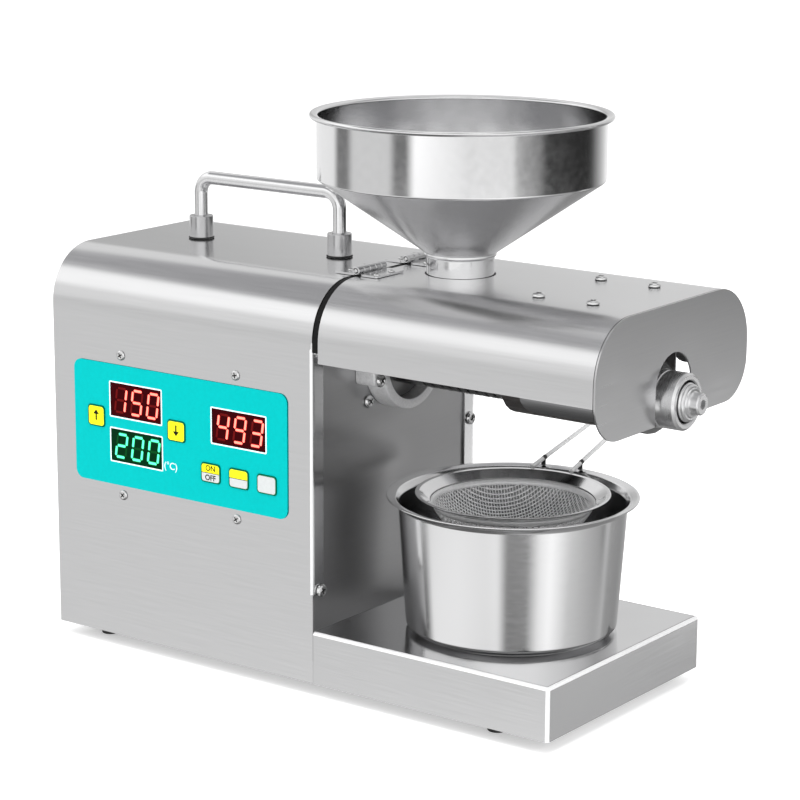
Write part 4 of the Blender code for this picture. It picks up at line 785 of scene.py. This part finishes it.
bm = bmesh.new()
angles = [tau * k / 160 for k in range(160)]
rings = [ring_across(x, [seat_reach(angle, shrink) for angle in angles], angles) for x, shrink in seat_edges]
rings += [ring_across(x, [radius] * len(angles), angles) for x, radius in seat_bore]
loft(bm, rings, cap=False)
bmesh.ops.bridge_loops(bm, edges=[edge for edge in bm.edges if len(edge.link_faces) == 1])
piece("seat_casting", bm, [cast], "root", ["press_seat"], sharp=40)
screw_group("seat_screws", "root", [((13.02, y, z), "X", seat_screw, 0.7)
                                    for y in (-34.8, 34.8) for z in (182.2, 197.8)])


# Press line
# The slotted barrel with its heater jacket, collar and feed chute, and the worm that turns in it.
# The nose outside the hood is the choke nut on the barrel and the worm's stepped end with its key
# socket, all turned stainless.
worm_start = 14
worm_length = 168
worm_turns = 8
worm_steps = 288
flight_radius = 12.1
core_radius = 7.0
core_growth = 3.2
core_limit = 9.5
socket_face = 217.2
socket_floor_x = 213.4
socket_across = 3.1
nut = [(12.6, 191.3), (16.9, 191.3), (16.9, 193.2), (16.3, 193.5), (16.3, 194.2), (16.9, 194.5),
       (16.9, 206.1), (15.5, 207.5), (13.3, 207.5), (12.6, 206.8)]
nose = [(0, 181.9), (12.1, 181.9), (12.1, 182.3), (11.5, 184), (11.5, 207.7), (10.8, 208.5), (10.8, 209.6),
        (9.9, 210.3), (8.8, 210.3), (8.4, 211.2), (7.0, 211.5), (6.5, 212.3), (6.5, 216.4),
        (5.7, socket_face), (4.4, socket_face)]
tail = [(0, 1.8), (5.3, 1.8), (5.3, 11.3), (7.2, 11.3), (7.2, 14.1), (0, 14.1)]
barrel_steel = steel("barrel steel", (0.30, 0.30, 0.30), 0.38, (900, 60, 60), 0.08)
heater_steel = steel("heater steel", (0.16, 0.15, 0.145), 0.45, (60, 300, 300), 0.08)
chute_steel = steel("chute steel", (0.70, 0.70, 0.70), 0.2, (200, 200, 900))
# The end collar's steel is darkened: painted shade under the hood.
collar_painted_shade = steel("collar painted shade", (0.42, 0.42, 0.42), 0.34, (1200, 30, 30), 0.03, 0.03)
turned_steel = steel("turned steel", (0.84, 0.84, 0.845), 0.29, (1200, 30, 30), 0.02, 0.03)
paint("press_barrel", barrel_steel)
paint("heater_jacket", heater_steel)
paint("end_collar", collar_painted_shade)
paint("feed_chute", chute_steel)
bm = bmesh.new()
add_turned(bm, soften(nut, 0.25, 3, True), (0, 0, axis_z), "X", closed=True)
piece("choke_nut_turned", bm, [turned_steel], "choke_nut", ["choke_nut"])

bm = bmesh.new()
lobe = [(flight_radius, radians(angle)) for angle in (-22, -16, -8, 0, 8, 16, 22)]
core = [(core_radius, radians(34 + 292 * i / 17)) for i in range(18)]
edges = edge_line(bm, [(worm_start, radius * sin(angle), radius * cos(angle))
                       for radius, angle in lobe + core], True)
bmesh.ops.spin(bm, geom=[*bm.verts, *edges], cent=(0, 0, 0), axis=(1, 0, 0),
               dvec=(worm_length / worm_steps, 0, 0), angle=-tau * worm_turns, steps=worm_steps)
for vert in bm.verts:
    if vert.co.yz.length < core_limit:
        grown = core_radius + core_growth * (vert.co.x - worm_start) / worm_length
        vert.co.yz *= grown / vert.co.yz.length
bmesh.ops.translate(bm, vec=(0, 0, axis_z), verts=bm.verts)
add_turned(bm, soften(nose, 0.3, 3), (0, 0, axis_z), "X")
add_turned(bm, tail, (0, 0, axis_z), "X", 48)
angles = [tau * k / 48 for k in range(48)]
hexagon = [socket_across * cos(pi / 6) / cos((angle + pi / 6) % (pi / 3) - pi / 6) for angle in angles]
loft(bm, [ring_across(socket_face, [4.4] * len(angles), angles), ring_across(socket_face, hexagon, angles),
          ring_across(socket_floor_x, hexagon, angles)])
piece("worm_turned", bm, [turned_steel], "press_drive", ["press_screw"])


# Hopper
# Spun and welded stainless hopper: a rolled rim, a short polished cylinder, a flat satin cone and the
# throat that drops through the hood into the chute.
rim = [(88.4, 344.0), (90.2, 344.3), (91.4, 342.8), (90.2, 341.3), (88.4, 341.4)]
outside = [(86.7, 341.9), (86.7, 305.0), (21.6, 260.2), (21.9, 259.4), (21.9, 258.6), (20.6, 258.0),
           (20.6, 232.0), (19.7, 232.0)]
inside = [(19.7, 259.4), (85.8, 305.6), (85.8, 343.3)]
cone_heights = (261, 304.5)
hopper_polish = steel("hopper polish", (0.80, 0.80, 0.805), 0.12, (200, 200, 200), 0.015, 0.02)
hopper_satin = steel("hopper satin", (0.76, 0.76, 0.765), 0.23, (200, 200, 200), 0.015, 0.02)
bm = bmesh.new()
add_turned(bm, soften([*rim, *outside, *inside], 1.3, 5, True), (throat_x, 0, 0), steps=160, closed=True)
for face in faces_where(bm, lambda place: cone_heights[0] < place.z < cone_heights[1]):
    face.material_index = 1
piece("hopper_spun", bm, [hopper_polish, hopper_satin], "hopper", ["hopper"], sharp=50)


# Oil pot
# A pressed stainless pot standing on the tray, polished outside, with a wide flat rim.
pot_x = 87.65
pot_outline = [(0, 33.3), (60.5, 33.3), (64.5, 36.0), (69.6, 110.5), (71.4, 113.4), (75.4, 114.3),
               (76.9, 115.1), (76.6, 116.0), (75.0, 115.8), (71.2, 114.7), (68.9, 111.0), (63.5, 38.0),
               (60.0, 34.4), (0, 34.4)]
pot_polish = steel("pot polish", (0.79, 0.79, 0.795), 0.15, (150, 150, 900), 0.015, 0.02)
bm = bmesh.new()
add_turned(bm, soften(pot_outline, 2.4, 6), (pot_x, 0, 0), steps=160)
piece("pot_pressed", bm, [pot_polish], "oil_pot", ["oil_pot"], sharp=50)


# Strainer
# A conical stainless band with a rolled edge carries a punched bowl, its holes about 1 mm wide in a
# diamond pattern; a loop of bright wire with hook feet on the pot's rim is the handle.
band = [(59.4, 117.1), (59.1, 116.2), (57.6, 115.8), (50.9, 112.2), (50.0, 112.4), (57.0, 116.9),
        (58.6, 117.2)]
bowl_radius = 50.0
bowl_depth = 32.5
bowl_floor = 79.9
mesh_half = 50.4
mesh_cells = 56
mesh_bar_half = 0.36
mesh_reach = 48.7
bowl_edge = (48.2, 49.0, 49.8)
bm = bmesh.new()
add_turned(bm, soften(band, 0.4, 3, True), (pot_x, 0, 0), steps=128, closed=True)
piece("strainer_band", bm, [hopper_polish], "strainer", ["strainer_rim"], sharp=50)

sieve = steel("sieve steel", (0.95, 0.95, 0.955), 0.34, (300, 300, 300), 0.04, 0.04, 0.2)
sphere = (bowl_radius**2 + bowl_depth**2) / (2 * bowl_depth)


def bowl_height(radius):
    return bowl_floor + sphere - sqrt(sphere**2 - radius**2)


bm = bmesh.new()
grid = bmesh.ops.create_grid(bm, x_segments=mesh_cells, y_segments=mesh_cells, size=mesh_half)["verts"]
bmesh.ops.rotate(bm, cent=(0, 0, 0), matrix=Matrix.Rotation(pi / 4, 3, "Z"), verts=grid)
outer_cells = faces_where(bm, lambda place: place.length > mesh_reach)
bmesh.ops.delete(bm, geom=outer_cells, context="FACES")
holes = bm.faces[:]
bmesh.ops.inset_individual(bm, faces=holes, thickness=mesh_bar_half)
bmesh.ops.delete(bm, geom=holes, context="FACES")
for vert in bm.verts:
    vert.co.z = bowl_height(vert.co.xy.length)
plain_edge = [(radius, bowl_height(radius) + 0.05) for radius in bowl_edge]
add_turned(bm, plain_edge, (0, 0, 0), steps=128)
bmesh.ops.translate(bm, vec=(pot_x, 0, 0), verts=bm.verts)
piece("strainer_sieve", bm, [sieve], "strainer", ["strainer_bowl"], wall=0.4, outwards=True)

wire_radius = 1.45
wire_length = 101
wire_foot = 60.0
wire_foot_height = 117.8
wire_rise = 0.19
wire_bend = 6.0
loop_half = 9.0
foot_half = 13.1
hook_reach = 73.25
hook_heights = (116.15, 116.6)
hook_radius = 1.5
sleeve_radius = 1.58
sleeve_span = (0.125, 0.155)
handle_direction = radians(95)
root_direction = radians(99.6)
along = Vector((cos(handle_direction), sin(handle_direction), wire_rise))
across = Vector((sin(handle_direction), -cos(handle_direction), 0))
root = Vector((pot_x + wire_foot * cos(root_direction), wire_foot * sin(root_direction), wire_foot_height))
far = root + along * wire_length
wire_steel = steel("wire steel", (0.84, 0.84, 0.84), 0.3, (300, 300, 300), 0.03, 0.04, 0.35)
hook_black = mottled("hook sleeve", (0.015,) * 3, (0.035,) * 3, 900, 0.55)


def along_to(point, direction, radius):
    """Where the line through the point first leaves a circle of the radius round the pot's axis."""
    offset = Vector((point.x - pot_x, point.y))
    flat = direction.xy
    half_b = offset.dot(flat) / flat.length_squared
    remainder = (offset.length_squared - radius**2) / flat.length_squared
    return point + direction * (-half_b + sqrt(half_b**2 - remainder))


bm = bmesh.new()
starts, ends = [], []
for side in (-1, 1):
    end = far + across * side * loop_half
    shank = (end - root - across * side * foot_half).normalized()
    start = along_to(end, shank, wire_foot)
    start.z = root.z
    perch = along_to(end, shank, hook_reach)
    perch.z = start.z + (end.z - start.z) * (perch - start).xy.length / (end - start).xy.length
    hook = [*[(perch.x, perch.y, height) for height in hook_heights], perch]
    add_tube(bm, hook, hook_radius, 4, slot=1)
    inner, outer = [start.lerp(end, share) for share in sleeve_span]
    add_tube(bm, [inner, inner.lerp(outer, 0.5), outer], sleeve_radius, 4, slot=1)
    starts.append(start)
    ends.append(end)
add_tube(bm, bent([starts[0], *ends, starts[1]], wire_bend, 10), wire_radius, 5)
piece("strainer_wire", bm, [wire_steel, hook_black], "strainer", ["strainer_handle"])


# Control panel
# A printed plastic film, teal, with white-framed digit windows, stuck over the openings in the near
# wall; moulded keys stand through it, and the digits are lit bars behind the windows.
film_box = (-191.5, 100.2, -18.5, 178.2)
film_corner = 6.0
film_middle = -85.55
print_y = -85.83
digit_y = -85.84
display_middle = -83.8
key_middle = -85.6
key_face = -86.36
key_rim = 0.85
ink = 0.06
key_ink = 0.05


def grown(box, margin):
    """A box (x0, z0, x1, z1) made larger on all sides."""
    x0, z0, x1, z1 = box
    return x0 - margin, z0 - margin, x1 + margin, z1 + margin


def rounded(box, radius, steps=6):
    return soften(rectangle(*box), radius, steps, True)


def on_panel(bm, outlines, thickness, y, slot=0):
    """A flat sheet on the near side, its middle plane at y."""
    cut_sheet(bm, outlines, thickness, Matrix.Translation((0, y, 0)) @ facing["-Y"], slot)


def glow(material, colour, strength):
    """The material gives off light of its own."""
    shader = material.node_tree.nodes["Principled BSDF"]
    shader.inputs["Emission Color"].default_value = (*colour, 1)
    shader.inputs["Emission Strength"].default_value = strength


def print_look(name, colour, rough=0.4, light=0.0):
    """Printed or moulded plastic, faintly mottled; the lit bars also glow."""
    material, tree, shader = look(name)
    shade = noise(tree, (500, 500, 500))
    tones = tint(tree, shade, [tone * 0.97 for tone in colour], [min(1, tone * 1.03) for tone in colour])
    tree.links.new(tones, shader.inputs["Base Color"])
    tree.links.new(between(tree, shade, rough - 0.04, rough + 0.04), shader.inputs["Roughness"])
    shader.inputs["Specular IOR Level"].default_value = 0.03
    if light:
        glow(material, colour, light)
    return material


film = print_look("teal film", (0.0, 0.445, 0.44), 0.5)
white_print = print_look("white print", (0.86, 0.97, 0.97), 0.4)
bm = bmesh.new()
cut_outs = [rounded(box, 0.5, 2) for box in windows.values()]
cut_outs += [rounded(grown(box, 0.1), 2.4) for box in keys.values()]
on_panel(bm, [rounded(film_box, film_corner, 8), *cut_outs], 0.5, film_middle)
for box in windows.values():
    on_panel(bm, [rounded(grown(box, 0.8), 1.0, 4), rounded(grown(box, -0.05), 0.4, 4)], ink, print_y, slot=1)
piece("panel_print", bm, [film, white_print], "root", ["panel_film"], sharp=25)

segments = {"a": ((0.14, 1), (0.86, 1)), "b": ((1, 0.93), (1, 0.57)), "c": ((1, 0.43), (1, 0.07)),
            "d": ((0.14, 0), (0.86, 0)), "e": ((0, 0.43), (0, 0.07)), "f": ((0, 0.93), (0, 0.57)),
            "g": ((0.14, 0.5), (0.86, 0.5))}
digits = {"0": "abcdef", "1": "bc", "2": "abged", "3": "abgcd", "4": "fgbc", "5": "afgcd", "9": "abcdfg"}
displays = {"upper": ("150", "red"), "lower": ("200", "green"), "front": ("493", "red")}
digit_margin = 3.1
digit_lean = 0.15
bar_width = 1.45
glow_width = 2.3
display_looks = {
    "red": [print_look("red window", (0.035, 0.0, 0.001), 0.3),
            print_look("red segment", (0.12, 0.004, 0.004), 0.3),
            print_look("red segment lit", (1.0, 0.22, 0.16), 0.4, 1.2),
            print_look("red glow", (0.42, 0.005, 0.008), 0.3, 0.3)],
    "green": [print_look("green window", (0.0, 0.024, 0.006), 0.3),
              print_look("green segment", (0.002, 0.06, 0.012), 0.3),
              print_look("green segment lit", (0.10, 1.0, 0.48), 0.4, 0.75),
              print_look("green glow", (0.01, 0.22, 0.07), 0.3, 0.2)]}


def add_segment(bm, start, end, width, slot):
    """A six-cornered bar of a digit, just proud of its window."""
    start = Vector(start)
    end = Vector(end)
    direction = (end - start).normalized()
    side = Vector((-direction.y, direction.x)) * width / 2
    tip = direction * width * 0.3
    corners = [start - tip, start + side, end + side, end + tip, end - side, start - side]
    on_panel(bm, [corners], ink, digit_y, slot)


for name, (text, colour) in displays.items():
    x0, z0, x1, z1 = windows[name]
    bm = bmesh.new()
    on_panel(bm, [rounded(grown(windows[name], -0.3), 0.4, 2)], 4.0, display_middle)
    pitch = (x1 - x0) * 0.315
    tall = z1 - z0 - 2 * digit_margin
    wide = pitch * 0.6
    for place, digit in enumerate(text):
        left = x0 + (x1 - x0) * 0.115 + pitch * place
        for key, bar in segments.items():
            points = [(left + u * wide + (v - 0.5) * tall * digit_lean, z0 + digit_margin + v * tall)
                      for u, v in bar]
            lit = key in digits[digit]
            if lit:
                add_segment(bm, *points, glow_width, 3)
            add_segment(bm, *points, bar_width, 2 if lit else 1)
    for face in bm.faces:
        if face.material_index == 2:
            for vert in face.verts:
                vert.co.y -= 0.02
    piece(f"digits_{name}", bm, display_looks[colour], "root", [f"display_{name}"], sharp=25)

yellow = print_look("yellow key", (0.98, 0.93, 0.02), 0.4)
grey = print_look("grey key", (0.56, 0.58, 0.58), 0.4)
outline_green = print_look("key outline", (0.0, 0.13, 0.06), 0.45)
legend_black = print_look("key legend", (0.015, 0.015, 0.01), 0.5)
arrow = [(0.6, -3.4), (0.6, 0.6), (2.5, 0.6), (0, 3.6), (-2.5, 0.6), (-0.6, 0.6), (-0.6, -3.4)]
legend_y = key_face - 0.03
word_size = 4.9
word_weight = 0.11
unit_size = 6.4


def add_words(bm, words, size, place, align="LEFT", weight=0.0, slot=0):
    """Plain lettering on the near side."""
    text = bpy.data.curves.new(words, "FONT")
    text.body = words
    text.size = size
    text.align_x = align
    text.offset = weight
    text.extrude = key_ink / 2
    from_curve(bm, text, Matrix.Translation(place) @ facing["-Y"], slot)


for name, box in keys.items():
    bm = bmesh.new()
    x0, z0, x1, z1 = grown(box, -key_rim)
    x = (x0 + x1) / 2
    z = (z0 + z1) / 2
    on_panel(bm, [rounded(grown(box, -0.1), 2.3)], 1.5, key_middle)
    inner = rounded((x0, z0, x1, z1), 1.8)
    on_panel(bm, [inner], key_ink, key_face, slot=1 if name in ("up", "down") else 2)
    if name in ("on_off", "press"):
        upper_half = [(x1, z), *[tuple(point) for point in inner if point[1] > z], (x0, z)]
        on_panel(bm, [upper_half], key_ink, key_face - 0.015, slot=1)
        on_panel(bm, [rectangle(x0, z - 0.2, x1, z + 0.2)], key_ink, legend_y, slot=3)
    if name in ("up", "down"):
        way = 1 if name == "up" else -1
        on_panel(bm, [[(x + u, z + 0.4 + way * v) for u, v in arrow][::way]], key_ink, legend_y, slot=3)
    if name == "on_off":
        for word, rise in (("ON", 1.4), ("OFF", -4.6)):
            add_words(bm, word, word_size, (x, legend_y, z + rise), "CENTER", word_weight, slot=3)
    piece(f"key_{name}", bm, [outline_green, yellow, grey, legend_black], f"button_{name}",
          [f"button_{name}"], sharp=25)

bm = bmesh.new()
add_words(bm, "(°C)", unit_size, (-117.0, print_y, 117.4))
piece("unit_print", bm, [white_print], "root")


# Inside the housing
# Board, moulded box, motor, gears and bearings are seen only through the vents: they keep their CAD
# shapes and get the finish of the real thing.
board_green = mottled("circuit board", (0.01, 0.11, 0.04), (0.03, 0.22, 0.09), 250, 0.35, 4)
motor_paint, tree, shader = look("motor paint")
shader.inputs["Metallic"].default_value = 0.3
tones = tint(tree, noise(tree, (400, 400, 400)), (0.09, 0.095, 0.10), (0.14, 0.145, 0.15))
tree.links.new(tones, shader.inputs["Base Color"])
tree.links.new(between(tree, noise(tree, (900, 900, 900)), 0.38, 0.52), shader.inputs["Roughness"])
gear_steel = steel("gear steel", (0.42, 0.42, 0.42), 0.3, (900, 200, 200), 0.06)
inner_finishes = (
    (board_green, ["control_board"]), (motor_paint, ["motor_can"]),
    (inlet_plastic, ["control_box", "motor_fan"]),
    (cast, ["gearbox_case", "gearbox_cover", "motor_end_bell", "motor_cradle"]),
    (gear_steel, ["output_gear", "output_shaft", "idler_gear", "idler_pinion_shaft", "motor_pinion",
                  "motor_shaft", "output_bearing_front", "output_bearing_rear"]))
for material, node_names in inner_finishes:
    for node_name in node_names:
        paint(node_name, material)


# Floor, light and camera
# A white studio table in a tent whose rows of light and dark panels the polished steel mirrors, four
# soft lamps, and the camera at the photograph's viewing angle.
floor_radius = 6.0
white = mottled("white table", (0.90,) * 3, (0.91,) * 3, 3, 0.9, specular=0.0)
glow(white, (1, 1, 1), 0.4)
bm = bmesh.new()
bmesh.ops.create_circle(bm, cap_ends=True, segments=96, radius=floor_radius)
floor_mesh = bpy.data.meshes.new("floor")
bm.to_mesh(floor_mesh)
bm.free()
floor_mesh.materials.append(white)
floor = new_object("floor", floor_mesh)
floor.visible_glossy = False

world = bpy.data.worlds.new("studio")
bpy.context.scene.world = world
world.use_nodes = True
tree = world.node_tree
tree.nodes.clear()
camera_place = Vector((957.6, -1300.4, 541.2))
camera_aim = Vector((2.494, 0, 162.07))
camera_roll = radians(0.263)
camera_azimuth = atan2(camera_place.y, camera_place.x - camera_aim.x)


def node(kind, settings=(), **inputs):
    """A world node; inputs named i0, i1 ... go by number, the others by name."""
    made = tree.nodes.new(kind)
    for name, value in dict(settings).items():
        setattr(made, name, value)
    for name, value in inputs.items():
        numbered = name[0] == "i" and name[1:].isdigit()
        socket = made.inputs[int(name[1:])] if numbered else made.inputs[name.replace("_", " ")]
        if hasattr(value, "is_output"):
            tree.links.new(value, socket)
        else:
            socket.default_value = value
    return made


def maths(operation, *values):
    inputs = {f"i{k}": value for k, value in enumerate(values)}
    return node("ShaderNodeMath", {"operation": operation}, **inputs).outputs[0]


def panels(stops):
    """Grey panels round the tent: (degrees right of the camera's own direction, brightness)."""
    made = node("ShaderNodeValToRGB", i0=position)
    ramp = made.color_ramp
    while len(ramp.elements) > 1:
        ramp.elements.remove(ramp.elements[-1])
    for index, (degrees, level) in enumerate(stops):
        where = degrees / 360 + 0.5
        element = ramp.elements[0] if index == 0 else ramp.elements.new(where)
        element.position = where
        element.color = (level, level, level, 1)
    return made.outputs["Color"]


def blend(first, second, share):
    return node("ShaderNodeMix", {"data_type": "RGBA"}, i0=share, i6=first, i7=second).outputs[2]


def smooth(value, start, end):
    settings = {"interpolation_type": "SMOOTHSTEP"}
    return node("ShaderNodeMapRange", settings, Value=value, From_Min=start, From_Max=end).outputs["Result"]


ray = node("ShaderNodeTexCoord").outputs["Generated"]
split = node("ShaderNodeSeparateXYZ", Vector=ray)
azimuth = maths("ARCTAN2", split.outputs["Y"], split.outputs["X"])
turned_by = maths("WRAP", maths("SUBTRACT", azimuth, camera_azimuth), pi, -pi)
position = maths("ADD", maths("DIVIDE", turned_by, tau), 0.5)
upright = split.outputs["Z"]
floor_row = panels([(-180, 0.25), (-130, 0.45), (-100, 0.14), (-60, 0.14), (-20, 0.2), (20, 0.6),
                    (60, 0.35), (120, 0.25), (179, 0.25)])
pot_row = panels([(-180, 0.35), (-150, 0.2), (-116, 0.03), (-105, 0.05), (-96, 1.0), (-60, 1.05),
                  (-30, 0.98), (-17, 1.05), (-8, 0.2), (13, 0.22), (26, 1.0), (38, 1.25), (60, 0.68),
                  (97, 0.46), (112, 0.55), (116, 0.35), (143, 0.28), (179, 0.3)])
tray_row = panels([(-180, 0.6), (-120, 0.7), (-85, 0.76), (-60, 0.76), (-20, 0.9), (10, 1.3), (50, 1.3),
                   (75, 0.5), (97, 0.35), (103, 0.1), (109, 0.6), (112, 0.58), (116, 0.35), (143, 0.3),
                   (179, 0.5)])
tent_side = [(-180, 0.6), (-120, 0.7), (-85, 0.78), (-60, 0.76), (-20, 0.9), (10, 1.3), (50, 1.3)]
wall_row = panels([*tent_side, (75, 0.4), (90, 0.2), (98, 0.02), (105, 0.02), (109, 1.1), (112, 2.2),
                   (119, 1.9), (124, 0.3), (160, 0.6), (179, 0.6)])
front_row = panels([*tent_side, (75, 0.5), (97, 0.4), (103, 0.2), (108, 0.36), (111, 0.36), (116, 0.24),
                    (140, 0.3), (160, 0.6), (179, 0.6)])
hopper_row = panels([(-180, 0.95), (-122, 0.95), (-115, 0.2), (-103, 0.2), (-96, 0.72), (-60, 0.72),
                     (-54, 0.16), (-45, 0.16), (-38, 1.35), (-6, 1.0), (4, 0.86), (39, 0.84), (43, 0.36),
                     (62, 0.2), (68, 0.03), (116, 0.02), (124, 0.1), (150, 0.75), (160, 0.95), (179, 0.95)])
top_row = panels([(-180, 0.64), (-175, 0.5), (-168, 0.5), (-150, 0.85), (-100, 0.9), (-60, 0.9), (-20, 1.2),
                  (20, 1.2), (60, 0.9), (100, 0.5), (150, 0.7), (174, 0.78), (179, 0.66)])
upper_row = panels([(-180, 0.8), (-150, 0.9), (-125, 1.25), (-60, 1.25), (-40, 0.9), (0, 1.0), (60, 0.9),
                    (100, 0.5), (140, 0.7), (179, 0.8)])
zenith_row = panels([(-180, 1.2), (-150, 0.6), (-115, 1.3), (-85, 0.5), (-40, 1.4), (-10, 0.6), (30, 1.4),
                     (70, 0.5), (110, 1.3), (150, 0.6), (179, 1.2)])
ceiling_grey = (0.40, 0.40, 0.41, 1)
rows = floor_row
for row, start, end in ((pot_row, -0.54, -0.45), (tray_row, -0.37, -0.34), (wall_row, -0.295, -0.28),
                        (front_row, -0.235, -0.215), (hopper_row, -0.19, -0.16), (top_row, -0.03, 0.08),
                        (upper_row, 0.27, 0.42), (ceiling_grey, 0.64, 0.72), (zenith_row, 0.84, 0.90)):
    rows = blend(rows, row, smooth(upright, start, end))
path = node("ShaderNodeLightPath")
seen = blend(rows, (1, 1, 1, 1), path.outputs["Is Camera Ray"])
background = node("ShaderNodeBackground", Color=seen, Strength=1.0)
node("ShaderNodeOutputWorld", Surface=background.outputs[0])

lamp_aim = machine + Vector((-0.02, 0, 0.15))
for name, place, width, power in (("top", (0.2, -0.3, 1.6), 1.4, 16), ("left", (-1.2, -1.1, 0.9), 1.0, 7),
                                  ("right", (1.5, -0.2, 0.9), 1.0, 6), ("back", (-0.2, 1.4, 1.1), 1.2, 7)):
    lamp = bpy.data.lights.new(name, "AREA")
    lamp.shape = "DISK"
    lamp.size = width
    lamp.energy = power
    light = new_object(name, lamp)
    light.location = place
    light.rotation_euler = (lamp_aim - light.location).to_track_quat("-Z", "Y").to_euler()
    light.visible_glossy = False

lens = bpy.data.cameras.new("camera")
lens.lens = 120.35
lens.sensor_width = 36.0
lens.sensor_fit = "HORIZONTAL"
lens.clip_end = 20
camera = new_object("camera", lens)
camera.location = machine + camera_place / 1000
aim = machine + camera_aim / 1000
turn = (aim - camera.location).to_track_quat("-Z", "Y") @ Quaternion((0, 0, 1), camera_roll)
camera.rotation_euler = turn.to_euler()
bpy.context.scene.camera = camera
bpy.context.scene.view_settings.view_transform = "Standard"
